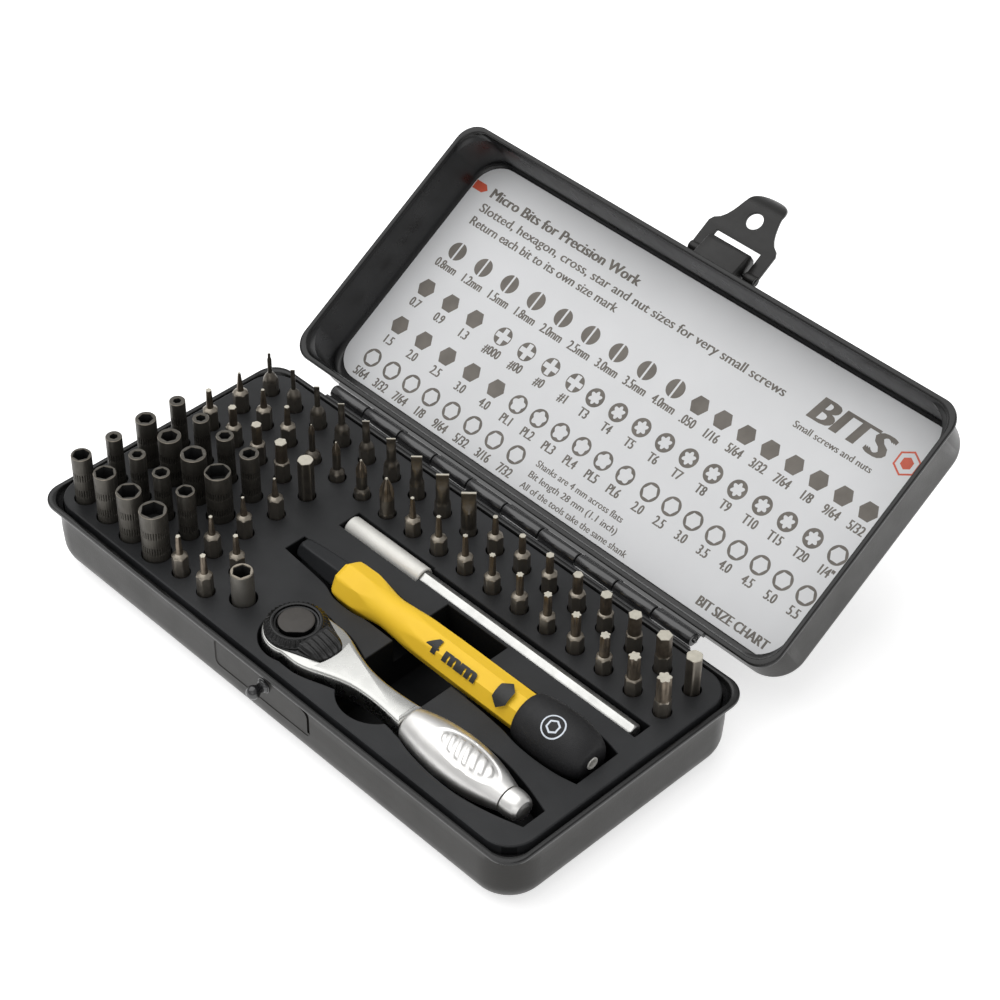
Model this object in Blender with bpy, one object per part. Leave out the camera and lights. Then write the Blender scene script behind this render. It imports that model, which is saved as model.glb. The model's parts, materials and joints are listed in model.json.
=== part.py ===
# Precision screwdriver set in a hinged case: the case, its tray, three tools and 62 small bits.
# Sizes below are in millimetres; every mesh is written in metres, +Z up, origin under the case's centre.
import math

import bmesh
import bpy
from mathutils import Matrix, Vector

MM = 0.001

# Case
CASE_HALF_LENGTH = 90.2
CASE_HALF_WIDTH = 42.05
RIM_Z = 21.0
DECK_Z = 20.9
PART_LINE_GAP = 0.3
RIM_CORNER = 6.5
WALL_CORNER = 11.0
WALL_INSET = 0.8
SHEET = 1.2
BASE_FILLET = 8.0
LID_TOP_Z = 39.2
LID_SHEET = 1.0
LID_FILLET = 4.2
LID_INNER_FILLET = 1.8
LID_OPENING = 147.3

# Hinge
HINGE_Y = 44.9
HINGE_Z = 21.0
HINGE_RADIUS = 1.9
HINGE_BORE = 0.95
HINGE_PIN = 0.65
HINGE_HALF_LENGTH = 68.5
HINGE_KNUCKLES = 10
HINGE_GAP = 0.35

# Label card inside the lid
LABEL_HALF_LENGTH = 87.2
LABEL_NEAR = -39.0
LABEL_FAR = 37.2
LABEL_Z = 37.5
LABEL_THICK = 0.35
LABEL_CORNER = 8.5

# Latch
LATCH_X = 1.3
LATCH_PIVOT_Y = -45.3
LATCH_PIVOT_Z = 30.4
LATCH_PLATE = 1.0
LATCH_HALF_WIDTH = 11.9
LATCH_SLOT_HALF = 8.1
LATCH_SHOULDER = 9.5
LATCH_HOLE_REACH = 14.9
LATCH_HOLE_RADIUS = 2.7
LATCH_TIP = 24.8
STUD_BALL = 1.85
STUD_NECK = 1.2

# Tray
TRAY_INSET = 4.1
TRAY_CORNER = 6.5
TRAY_FLOOR = 1.5
HOLE_RADIUS = 2.65
HOLE_BOTTOM = 6.3
BIT_BOTTOM = 6.6

# Grid of bit positions
COLUMN_PITCH = 10.0
FIRST_COLUMN = -80.0
ROW_PITCH = 10.8
FIRST_ROW = 31.4
SHAFT_AF = 4.0
TIP_SHOULDER = 6.2
INCH_SHOULDER = 5.6
STAR_SHOULDER = 4.9

# Driver
DRIVER_Y = -4.5
DRIVER_Z = 21.9
NOSE_TIP_X = -24.5
GRIP_FRONT_X = -9.6
CAP_FRONT_X = 58.6
CAP_END_X = 80.6

# Ratchet
RATCHET_X = -1.9
RATCHET_Y = -26.8
RATCHET_AXIS_Z = 21.4
HEAD_RADIUS = 9.0
HEAD_TOP_Z = 23.9
HEAD_BOTTOM_Z = 15.4
JOINT_X = 40.6
GRIP_END_X = 74.3
KNOB_END_X = 80.0

# Extension
EXT_Y = 12.2
EXT_Z = 19.2
SLEEVE_FRONT_X = -24.6
SLEEVE_END_X = 3.5
SLEEVE_RADIUS = 3.0
ROD_END_X = 79.0


def clear_scene():
    for old in list(bpy.data.objects):
        bpy.data.objects.remove(old, do_unlink=True)


def material(name, colour, metallic, roughness):
    made = bpy.data.materials.new(name)
    made.use_nodes = True
    shader = made.node_tree.nodes["Principled BSDF"]
    shader.inputs["Base Color"].default_value = (*colour, 1.0)
    shader.inputs["Metallic"].default_value = metallic
    shader.inputs["Roughness"].default_value = roughness
    made.diffuse_color = (*colour, 1.0)
    return made


def circle(radius, count, turn=0.0):
    step = 2.0 * math.pi / count
    return [(radius * math.cos(turn + step * k), radius * math.sin(turn + step * k)) for k in range(count)]


def polygon(flats, sides, count, turn=0.0):
    """A regular polygon of the given width across flats, walked in `count` points."""
    per_side = count // sides
    corner = flats / 2.0 / math.cos(math.pi / sides)
    points = []
    for side in range(sides):
        a = turn + 2.0 * math.pi * side / sides
        b = turn + 2.0 * math.pi * (side + 1) / sides
        for k in range(per_side):
            t = k / per_side
            x = corner * ((1 - t) * math.cos(a) + t * math.cos(b))
            y = corner * ((1 - t) * math.sin(a) + t * math.sin(b))
            points.append((x, y))
    return points


def star(outer, inner, lobes, turn=0.0):
    points = []
    for k in range(lobes * 2):
        radius = outer if k % 2 == 0 else inner
        a = turn + math.pi * k / lobes
        points.append((radius * math.cos(a), radius * math.sin(a)))
    return points


def blade(half_width, half_thick, turn):
    """Twelve points round a rectangle, in step with a twelve-point circle."""
    points = []
    for k in range(12):
        a = 2.0 * math.pi * (k + 0.5) / 12
        x = half_width if math.cos(a) > 0.6 else (-half_width if math.cos(a) < -0.6 else 0.0)
        if x == 0.0:
            x = half_width * math.cos(a) / 0.75
        y = half_thick if math.sin(a) > 0 else -half_thick
        if abs(math.sin(a)) < 0.4:
            y = half_thick * math.sin(a) / 0.4
        points.append((x * math.cos(turn) - y * math.sin(turn), x * math.sin(turn) + y * math.cos(turn)))
    return points


def rounded_rect(half_x, half_y, radius, seg=5):
    points = []
    corners = ((half_x - radius, half_y - radius, 0), (radius - half_x, half_y - radius, 90),
               (radius - half_x, radius - half_y, 180), (half_x - radius, radius - half_y, 270))
    for cx, cy, start in corners:
        for k in range(seg + 1):
            a = math.radians(start + 90.0 * k / seg)
            points.append((cx + radius * math.cos(a), cy + radius * math.sin(a)))
    return points


def case_loop(inset, radius, z, seg=5):
    outline = rounded_rect(CASE_HALF_LENGTH - inset, CASE_HALF_WIDTH - inset, max(radius, 0.6), seg)
    return [(x, y, z) for x, y in outline]


def mesh_object(name, points, faces, mat, origin=(0.0, 0.0, 0.0)):
    mesh = bpy.data.meshes.new(name)
    o = Vector(origin)
    mesh.from_pydata([tuple((Vector(p) - o) * MM) for p in points], [], faces)
    made = bpy.data.objects.new(name, mesh)
    made.location = o * MM
    bpy.context.scene.collection.objects.link(made)
    if mat is not None:
        mesh.materials.append(mat)
    work = bmesh.new()
    work.from_mesh(mesh)
    bmesh.ops.recalc_face_normals(work, faces=work.faces[:])
    work.to_mesh(mesh)
    work.free()
    return made


def loft(name, loops, mat, origin=(0.0, 0.0, 0.0), ring=False):
    """Skin a list of equal loops; the two ends are capped, or joined to each other for a ring."""
    count = len(loops[0])
    points = [p for loop in loops for p in loop]
    faces = []
    bands = len(loops) if ring else len(loops) - 1
    for i in range(bands):
        a = i * count
        b = ((i + 1) % len(loops)) * count
        for k in range(count):
            n = (k + 1) % count
            faces.append((a + k, a + n, b + n, b + k))
    if not ring:
        faces.append(tuple(range(count))[::-1])
        faces.append(tuple(range((len(loops) - 1) * count, len(loops) * count)))
    return mesh_object(name, points, faces, mat, origin)


def along_z(shapes, cx=0.0, cy=0.0):
    """Loops from (z, outline) pairs standing on a vertical axis."""
    return [[(cx + x, cy + y, z) for x, y in outline] for z, outline in shapes]


def along_x(shapes, cy, cz):
    """Loops from (x, outline) pairs threaded on an axis along X."""
    return [[(x, cy + u, cz + v) for u, v in outline] for x, outline in shapes]


def along_y(shapes, cx, cz):
    return [[(cx + u, y, cz + v) for u, v in outline] for y, outline in shapes]


def box(name, lo, hi, mat=None):
    x0, y0, z0 = lo
    x1, y1, z1 = hi
    lower = [(x0, y0, z0), (x1, y0, z0), (x1, y1, z0), (x0, y1, z0)]
    upper = [(x, y, z1) for x, y, z in lower]
    return loft(name, [lower, upper], mat)


def prism(name, outline, z0, z1, mat=None):
    return loft(name, [[(x, y, z0) for x, y in outline], [(x, y, z1) for x, y in outline]], mat)


def join(objects, name):
    """Several separate bodies as one mesh, for use as a cutter or as the second half of a union."""
    work = bmesh.new()
    for item in objects:
        copy = item.data.copy()
        copy.transform(Matrix.Translation(item.location))
        work.from_mesh(copy)
        bpy.data.meshes.remove(copy)
    mesh = bpy.data.meshes.new(name)
    work.to_mesh(mesh)
    work.free()
    for item in objects:
        old = item.data
        bpy.data.objects.remove(item, do_unlink=True)
        bpy.data.meshes.remove(old)
    made = bpy.data.objects.new(name, mesh)
    bpy.context.scene.collection.objects.link(made)
    return made


def boolean(target, tool, operation, crossing=False):
    """Exact Boolean, applied to the mesh; the tool object is removed. A tool may have crossing bodies."""
    mod = target.modifiers.new("cut", "BOOLEAN")
    mod.solver = "EXACT"
    mod.use_self = crossing
    mod.operation = operation
    mod.object = tool
    graph = bpy.context.evaluated_depsgraph_get()
    result = bpy.data.meshes.new_from_object(target.evaluated_get(graph))
    target.modifiers.remove(mod)
    old = target.data
    target.data = result
    bpy.data.meshes.remove(old)
    spare = tool.data
    bpy.data.objects.remove(tool, do_unlink=True)
    bpy.data.meshes.remove(spare)
    work = bmesh.new()
    work.from_mesh(target.data)
    bmesh.ops.remove_doubles(work, verts=work.verts[:], dist=0.000005)
    bmesh.ops.dissolve_degenerate(work, edges=work.edges[:], dist=0.000002)
    work.to_mesh(target.data)
    work.free()
    return target


def turn_open(item):
    """Carry a mesh modelled with the lid closed to the lid's open position."""
    p = Vector((0.0, HINGE_Y, HINGE_Z)) * MM
    swing = Matrix.Translation(p) @ Matrix.Rotation(math.radians(-LID_OPENING), 4, "X") @ Matrix.Translation(-p)
    item.data.transform(Matrix.Translation(item.location))
    item.data.transform(swing)
    item.location = (0.0, 0.0, 0.0)
    return item


def open_point(point):
    p = Vector((0.0, HINGE_Y, HINGE_Z))
    return p + Matrix.Rotation(math.radians(-LID_OPENING), 3, "X") @ (Vector(point) - p)


def set_origin(item, origin):
    o = Vector(origin) * MM
    item.data.transform(Matrix.Translation(item.location - o))
    item.location = o


# ---------------------------------------------------------------- case


def fillet_steps(inset, z_flat, radius, corner, up, steps=4):
    """Loops round a bottom (up=+1) or top (up=-1) edge, from the flat face out to the wall."""
    loops = []
    for k in range(steps + 1):
        a = math.radians(90.0 * k / steps)
        inward = inset + radius * (1.0 - math.sin(a))
        z = z_flat + up * radius * (1.0 - math.cos(a))
        loops.append(case_loop(inward, corner - (inward - inset), z))
    return loops


def knuckles(name, first, z_side):
    pieces = []
    pitch = 2.0 * HINGE_HALF_LENGTH / HINGE_KNUCKLES
    for k in range(first, HINGE_KNUCKLES, 2):
        x0 = -HINGE_HALF_LENGTH + pitch * k + HINGE_GAP / 2
        x1 = x0 + pitch - HINGE_GAP
        outer = circle(HINGE_RADIUS, 12)
        inner = circle(HINGE_BORE, 12)
        rings = along_x([(x0, inner), (x0, outer), (x1, outer), (x1, inner)], HINGE_Y, HINGE_Z)
        tube = loft(name, rings, None, ring=True)
        z0 = HINGE_Z + z_side * 1.7
        z1 = HINGE_Z + z_side * 0.7
        leaf = box(name + "_leaf", (x0, 40.7, min(z0, z1)), (x1, HINGE_Y - 0.75, max(z0, z1)))
        pieces.append(boolean(tube, leaf, "UNION"))
    return join(pieces, name)


def build_base(mat):
    inner = WALL_INSET + SHEET
    rim = RIM_Z - PART_LINE_GAP / 2
    loops = fillet_steps(WALL_INSET + 0.3, 0.0, BASE_FILLET, WALL_CORNER, 1)
    loops.append(case_loop(WALL_INSET, WALL_CORNER, rim - 1.35))
    loops.append(case_loop(0.25, RIM_CORNER + 0.2, rim - 1.25))
    loops.append(case_loop(0.0, RIM_CORNER, rim - 0.85))
    loops.append(case_loop(0.0, RIM_CORNER, rim - 0.35))
    loops.append(case_loop(0.35, RIM_CORNER, rim))
    loops.append(case_loop(1.25, RIM_CORNER, rim))
    loops.append(case_loop(1.6, RIM_CORNER + 0.3, rim - 0.4))
    loops.append(case_loop(inner, WALL_CORNER - SHEET, rim - 1.6))
    down = fillet_steps(inner + 0.3, SHEET, BASE_FILLET - SHEET, WALL_CORNER - SHEET, 1, 3)
    loops.extend(reversed(down))
    base = loft("base_shell", loops, mat)
    boolean(base, knuckles("base_knuckles", 0, -1), "UNION")
    # Shallow plate recess for the latch, and the stud's hole through the wall
    y_wall = -(CASE_HALF_WIDTH - WALL_INSET)
    recess = box("latch_recess", (LATCH_X - 17.7, y_wall - 3.0, 11.8), (LATCH_X + 17.7, y_wall + 0.42, 18.4))
    boolean(base, recess, "DIFFERENCE")
    hole = loft("stud_hole", along_y([(y_wall - 2.0, circle(1.55, 16)), (y_wall + 4.0, circle(1.55, 16))],
                                     LATCH_X, LATCH_PIVOT_Z - LATCH_HOLE_REACH), None)
    boolean(base, hole, "DIFFERENCE")
    return base


def build_lid(mat):
    """Modelled shut over the base, then swung open with its knuckles and latch block."""
    rim = RIM_Z + PART_LINE_GAP / 2
    inner = WALL_INSET + SHEET
    loops = fillet_steps(WALL_INSET, LID_TOP_Z, LID_FILLET, WALL_CORNER - 1.5, -1)
    loops.append(case_loop(WALL_INSET, WALL_CORNER - 1.5, rim + 1.35))
    loops.append(case_loop(0.25, RIM_CORNER + 0.2, rim + 1.25))
    loops.append(case_loop(0.0, RIM_CORNER, rim + 0.85))
    loops.append(case_loop(0.0, RIM_CORNER, rim + 0.35))
    loops.append(case_loop(0.35, RIM_CORNER, rim))
    loops.append(case_loop(1.25, RIM_CORNER, rim))
    loops.append(case_loop(1.6, RIM_CORNER + 0.3, rim + 0.4))
    loops.append(case_loop(inner, WALL_CORNER - 2.5, rim + 1.6))
    down = fillet_steps(inner, LID_TOP_Z - LID_SHEET, LID_INNER_FILLET, WALL_CORNER - 2.5, -1, 3)
    loops.extend(reversed(down))
    lid = loft("lid_shell", loops, mat)
    boolean(lid, knuckles("lid_knuckles", 1, 1), "UNION")
    # Pivot block for the latch on the front wall
    wall = -(CASE_HALF_WIDTH - WALL_INSET)
    profile = [(wall + 0.5, LATCH_PIVOT_Z - 4.2), (LATCH_PIVOT_Y + 0.3, LATCH_PIVOT_Z - 2.0),
               (LATCH_PIVOT_Y - 1.9, LATCH_PIVOT_Z - 1.2), (LATCH_PIVOT_Y - 1.9, LATCH_PIVOT_Z + 1.2),
               (LATCH_PIVOT_Y + 0.3, LATCH_PIVOT_Z + 2.0), (wall + 0.5, LATCH_PIVOT_Z + 3.4)]
    ends = [[(x, y, z) for y, z in profile] for x in (LATCH_X - 7.1, LATCH_X + 7.1)]
    boolean(lid, loft("latch_block", ends, None), "UNION")
    bore = along_x([(LATCH_X - 9.0, circle(0.95, 12)), (LATCH_X + 9.0, circle(0.95, 12))],
                   LATCH_PIVOT_Y, LATCH_PIVOT_Z)
    boolean(lid, loft("latch_bore", bore, None), "DIFFERENCE")
    turn_open(lid)
    set_origin(lid, (0.0, HINGE_Y, HINGE_Z))
    return lid


def build_label(mat):
    centre = (LABEL_NEAR + LABEL_FAR) / 2
    outline = rounded_rect(LABEL_HALF_LENGTH, (LABEL_FAR - LABEL_NEAR) / 2, LABEL_CORNER, 5)
    outline = [(x, y + centre) for x, y in outline]
    label = prism("lid_label", outline, LABEL_Z, LABEL_Z + LABEL_THICK, mat)
    turn_open(label)
    return label


def build_pins(mat):
    ends = HINGE_HALF_LENGTH - 0.1
    shapes = [(-ends, circle(HINGE_PIN, 12)), (ends, circle(HINGE_PIN, 12))]
    loft("hinge_pin", along_x(shapes, HINGE_Y, HINGE_Z), mat)
    reach = LATCH_HALF_WIDTH - 0.2
    shapes = [(LATCH_X - reach, circle(0.62, 12)), (LATCH_X + reach, circle(0.62, 12))]
    turn_open(loft("latch_pin", along_x(shapes, LATCH_PIVOT_Y, LATCH_PIVOT_Z), mat))


def build_latch_plate(mat):
    """Sheet hasp on the lid's front, sticking straight out; legs curl round the latch pin."""
    half = LATCH_PLATE / 2
    outline = [(-LATCH_HALF_WIDTH, 0.9), (-LATCH_SLOT_HALF, 0.9)]
    outline += [(-LATCH_SLOT_HALF, LATCH_SHOULDER - 2.0), (LATCH_SLOT_HALF, LATCH_SHOULDER - 2.0)]
    outline += [(LATCH_SLOT_HALF, 0.9), (LATCH_HALF_WIDTH, 0.9)]
    outline += [(LATCH_HALF_WIDTH, LATCH_SHOULDER - 2.2), (LATCH_HALF_WIDTH - 2.2, LATCH_SHOULDER + 0.4)]
    outline += [(7.6, LATCH_SHOULDER + 2.2), (6.1, LATCH_TIP - 6.4)]
    for k in range(7):
        a = math.radians(10.0 + 160.0 * k / 6)
        outline.append((6.0 * math.cos(a), LATCH_TIP - 5.6 + 5.6 * math.sin(a)))
    outline += [(-6.1, LATCH_TIP - 6.4), (-7.6, LATCH_SHOULDER + 2.2)]
    outline += [(2.2 - LATCH_HALF_WIDTH, LATCH_SHOULDER + 0.4), (-LATCH_HALF_WIDTH, LATCH_SHOULDER - 2.2)]
    loops = []
    for side in (-half, half):
        loop = []
        for x, reach in outline:
            curl = max(0.0, reach - 18.5)
            loop.append((LATCH_X + x, LATCH_PIVOT_Y - reach, LATCH_PIVOT_Z + side + 0.08 * curl * curl))
        loops.append(loop)
    plate = loft("latch_plate", loops, mat)
    hole = [(LATCH_X + x, LATCH_PIVOT_Y - LATCH_HOLE_REACH + y) for x, y in circle(LATCH_HOLE_RADIUS, 18)]
    boolean(plate, prism("hasp_hole", hole, LATCH_PIVOT_Z - 3, LATCH_PIVOT_Z + 3), "DIFFERENCE")
    for side in (-1, 1):
        x0 = LATCH_X + side * LATCH_SLOT_HALF
        x1 = LATCH_X + side * LATCH_HALF_WIDTH
        outer = circle(1.5, 14)
        inner = circle(0.95, 14)
        rings = along_x([(x0, inner), (x0, outer), (x1, outer), (x1, inner)], LATCH_PIVOT_Y, LATCH_PIVOT_Z)
        boolean(plate, loft("curl", rings, None, ring=True), "UNION")
    turn_open(plate)
    set_origin(plate, tuple(open_point((LATCH_X, LATCH_PIVOT_Y, LATCH_PIVOT_Z))))
    return plate


def build_stud(mat):
    wall = -(CASE_HALF_WIDTH - WALL_INSET)
    z = LATCH_PIVOT_Z - LATCH_HOLE_REACH
    inside = wall + SHEET + 0.75
    shapes = [(inside + 0.8, circle(2.2, 14)), (inside, circle(2.2, 14)), (inside - 0.01, circle(STUD_NECK, 14)),
              (LATCH_PIVOT_Y + 1.45, circle(STUD_NECK, 14))]
    for degrees in (140, 110, 80, 50, 22):
        a = math.radians(degrees)
        shapes.append((LATCH_PIVOT_Y + 0.1 - STUD_BALL * math.cos(a), circle(STUD_BALL * math.sin(a), 14)))
    return loft("latch_stud", along_y(shapes, LATCH_X, z), mat)


# ---------------------------------------------------------------- bits


def column_x(column):
    return FIRST_COLUMN + COLUMN_PITCH * column


def row_y(row):
    return FIRST_ROW - ROW_PITCH * row


def bit_turn(column, row):
    """Bits stand at slightly different turns in their round holes."""
    return math.radians((column * 23 + row * 41) % 60)


def shaft(bottom, shoulder, turn):
    hexagon = polygon(SHAFT_AF, 6, 12, turn)
    return [(bottom, hexagon), (shoulder, hexagon)]


def slotted_shapes(width, bottom, turn):
    top = DECK_Z + 14.2
    if width >= 3.4:
        shapes = shaft(bottom, DECK_Z + 2.0 if width > 3.6 else DECK_Z + 4.2, turn)
        neck = circle(width / 2 * 1.02, 12, turn + math.radians(15))
        shapes.append((shapes[-1][0] + 0.9, neck))
    else:
        shapes = shaft(bottom, DECK_Z + 4.4, turn)
        neck = circle(max(width / 2 * 1.05, 0.62), 12, turn + math.radians(15))
        shapes.append((DECK_Z + 6.8, neck))
    shapes.append((top - 5.2, neck))
    shapes.append((top, blade(width / 2, max(0.14, width * 0.09), math.radians(45))))
    return shapes


def hex_shapes(flats, bottom, turn, rise):
    top = DECK_Z + rise
    tip = polygon(flats, 6, 12, turn)
    if flats > 3.8:
        shapes = shaft(bottom, top - 0.35, turn)
    else:
        shoulder = DECK_Z + (INCH_SHOULDER if rise < 13.0 else TIP_SHOULDER)
        shapes = shaft(bottom, shoulder, turn)
        shapes.append((shoulder + (SHAFT_AF - flats) * 0.55, tip))
    shapes.append((top, polygon(flats * 0.95, 6, 12, turn)))
    return shapes


def torx_shapes(across, bottom, turn):
    top = DECK_Z + 12.6
    tip = star(across / 2, across * 0.36, 6, turn)
    shapes = shaft(bottom, DECK_Z + STAR_SHOULDER, turn)
    shapes.append((DECK_Z + STAR_SHOULDER + (SHAFT_AF - across) * 0.5, tip))
    shapes.append((top, star(across / 2 * 0.95, across * 0.34, 6, turn)))
    return shapes


def pentalobe_shapes(across, bottom, turn):
    top = DECK_Z + 13.2
    tip = circle(across / 2, 12, turn)
    shapes = shaft(bottom, DECK_Z + TIP_SHOULDER, turn)
    shapes.append((DECK_Z + TIP_SHOULDER + (SHAFT_AF - across) * 0.5, tip))
    shapes.append((top, tip))
    return shapes


def phillips_shapes(across, bottom, turn):
    top = DECK_Z + 13.1
    shapes = shaft(bottom, DECK_Z + (2.3 if across < 3.4 else 1.2), turn)
    neck = circle(across / 2, 12, turn)
    shapes.append((shapes[-1][0] + max(0.4, (SHAFT_AF - across) * 0.8), neck))
    shapes.append((top - across * 1.5, neck))
    shapes.append((top, circle(across * 0.12, 12, turn)))
    return shapes


def nut_shapes(nut, outer, turn):
    top = DECK_Z + 15.7
    body = circle(outer / 2, 12, turn)
    lower = 12.0
    if outer > 5.0:
        shapes = shaft(BIT_BOTTOM, lower, turn)
        shapes.append((lower + 0.01, body))
    else:
        shapes = shaft(BIT_BOTTOM, lower + 3.0, turn)
        shapes.append((lower + 3.6, body))
    shapes.append((top - 0.3, body))
    shapes.append((top, circle(outer / 2 - 0.3, 12, turn)))
    recess = polygon(min(nut, (outer - 1.0) * 0.866), 6, 12, turn)
    shapes.append((top - 0.25, recess))
    shapes.append((top - 4.0, recess))
    return shapes


SLOTTED = [0.8, 1.2, 1.5, 1.8, 2.0, 2.5, 3.0, 3.5, 4.0]
INCH_HEX = [1.27, 1.59, 1.98, 2.38, 2.78, 3.18, 3.57, 3.97]
METRIC_HEX = [0.7, 0.9, 1.3, 1.5, 2.0, 2.5, 3.0, 4.0]
PHILLIPS = [1.7, 2.3, 3.0, 3.9]
TORX = [1.15, 1.3, 1.42, 1.7, 1.99, 2.31, 2.5, 2.74, 3.27, 3.86]
PENTALOBE = [0.8, 0.9, 1.1, 1.3, 1.4, 1.6]
NUTS = [
    ("nut_5_64in", 1.98, 4.4), ("nut_3_32in", 2.38, 4.5), ("nut_7_64in", 2.78, 4.8), ("nut_1_8in", 3.18, 5.2),
    ("nut_9_64in", 3.57, 5.7), ("nut_5_32in", 3.97, 6.35), ("nut_3_16in", 4.76, 6.9), ("nut_7_32in", 5.56, 7.1),
    ("nut_2_0mm", 2.0, 4.5), ("nut_2_5mm", 2.5, 4.6), ("nut_3_0mm", 3.0, 4.7), ("nut_3_5mm", 3.5, 5.0),
    ("nut_4_0mm", 4.0, 5.55), ("nut_4_5mm", 4.5, 6.1), ("nut_5_0mm", 5.0, 6.75), ("nut_5_5mm", 5.5, 7.4),
]
ADAPTER = (-21.4, -28.0)
ADAPTER_RISE = 10.1
STRIP_BOTTOM = 2.4
STRIP_THICK = 1.9
STRIP_HALF = 1.4


def row_places(first, count, row):
    return [(first + k, row) for k in range(count)]


PENTALOBE_PLACES = [(4, 3), (4, 4), (4, 5), (4, 6), (5, 5), (5, 6)]
SLOTTED_PLACES = row_places(0, 9, 0)
HEX_PLACES = row_places(0, 3, 1) + row_places(0, 5, 2)
STRIP_PLACES = row_places(9, 8, 0) + row_places(3, 4, 1) + row_places(7, 10, 1) + PENTALOBE_PLACES


def build_strip(name, places, makers, mat, bars):
    """A family of bits on a hidden carrier strip that runs in the tray's underside."""
    bits = []
    for (column, row), maker in zip(places, makers):
        turn = bit_turn(column, row)
        bits.append(loft(name, along_z(maker(STRIP_BOTTOM, turn), column_x(column), row_y(row)), None))
    family = join(bits, name)
    family.data.materials.append(mat)
    boolean(family, bar_solid(bars, 0.0, STRIP_BOTTOM + 0.4, STRIP_BOTTOM + 0.4 + STRIP_THICK), "UNION")
    return family


def bar_solid(bars, grow, z0, z1):
    """The bars of one carrier strip as a single body, widened all round by `grow`."""
    pieces = [box("bar", (x0 - grow, y0 - grow, z0), (x1 + grow, y1 + grow, z1)) for x0, y0, x1, y1 in bars]
    for extra in pieces[1:]:
        boolean(pieces[0], extra, "UNION")
    return pieces[0]


def row_bar(first, last, row):
    y = row_y(row)
    return (column_x(first) - STRIP_HALF, y - STRIP_HALF, column_x(last) + STRIP_HALF, y + STRIP_HALF)


def column_bar(column, top_row, low_row):
    x = column_x(column)
    return (x - STRIP_HALF, row_y(low_row) - STRIP_HALF, x + STRIP_HALF, row_y(top_row) + STRIP_HALF)


STRIP_BARS = {
    "inch_hex_bits": [row_bar(9, 16, 0)],
    "phillips_bits": [row_bar(3, 6, 1)],
    "torx_bits": [row_bar(7, 16, 1)],
    "pentalobe_bits": [column_bar(4, 3, 6), (column_x(4), row_y(6) - 1.0, column_x(5), row_y(6) + 1.0),
                       column_bar(5, 5, 6)],
}


def build_families(mat):
    build_strip("inch_hex_bits", row_places(9, 8, 0),
                [lambda b, t, w=w: hex_shapes(w, b, t, 12.4) for w in INCH_HEX], mat, STRIP_BARS["inch_hex_bits"])
    build_strip("phillips_bits", row_places(3, 4, 1),
                [lambda b, t, w=w: phillips_shapes(w, b, t) for w in PHILLIPS], mat, STRIP_BARS["phillips_bits"])
    build_strip("torx_bits", row_places(7, 10, 1),
                [lambda b, t, w=w: torx_shapes(w, b, t) for w in TORX], mat, STRIP_BARS["torx_bits"])
    build_strip("pentalobe_bits", PENTALOBE_PLACES,
                [lambda b, t, w=w: pentalobe_shapes(w, b, t) for w in PENTALOBE], mat,
                STRIP_BARS["pentalobe_bits"])


def size_name(kind, millimetres):
    return kind + "_" + str(float(millimetres)).replace(".", "_") + "mm"


def build_loose_bits(mat):
    """Slotted and metric hexagon bits, each free to lift out of its own blind hole."""
    for width, (column, row) in zip(SLOTTED, SLOTTED_PLACES):
        x, y = column_x(column), row_y(row)
        shapes = slotted_shapes(width, BIT_BOTTOM, bit_turn(column, row))
        loft(size_name("slotted", width), along_z(shapes, x, y), mat, (x, y, DECK_Z))
    for flats, (column, row) in zip(METRIC_HEX, HEX_PLACES):
        x, y = column_x(column), row_y(row)
        shapes = hex_shapes(flats, BIT_BOTTOM, bit_turn(column, row), 13.3)
        loft(size_name("hex", flats), along_z(shapes, x, y), mat, (x, y, DECK_Z))


def nut_place(index):
    return index % 4, 3 + index // 4


def build_nuts(mat):
    for index, (name, nut, outer) in enumerate(NUTS):
        column, row = nut_place(index)
        x, y = column_x(column), row_y(row)
        loft(name, along_z(nut_shapes(nut, outer, bit_turn(column, row)), x, y), mat, (x, y, DECK_Z))


def build_adapter(mat):
    x, y = ADAPTER
    turn = math.radians(15)
    top = DECK_Z + ADAPTER_RISE
    body = polygon(6.0, 6, 12, turn)
    recess = polygon(4.2, 6, 12, turn)
    shapes = shaft(BIT_BOTTOM, 13.0, turn)
    shapes += [(13.8, circle(3.05, 12, turn)), (top - 4.6, circle(3.05, 12, turn)), (top - 0.3, body),
               (top, circle(2.8, 12, turn)), (top - 0.25, recess), (top - 5.0, recess)]
    loft("drive_adapter", along_z(shapes, x, y), mat, (x, y, DECK_Z))


# ---------------------------------------------------------------- driver


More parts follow.
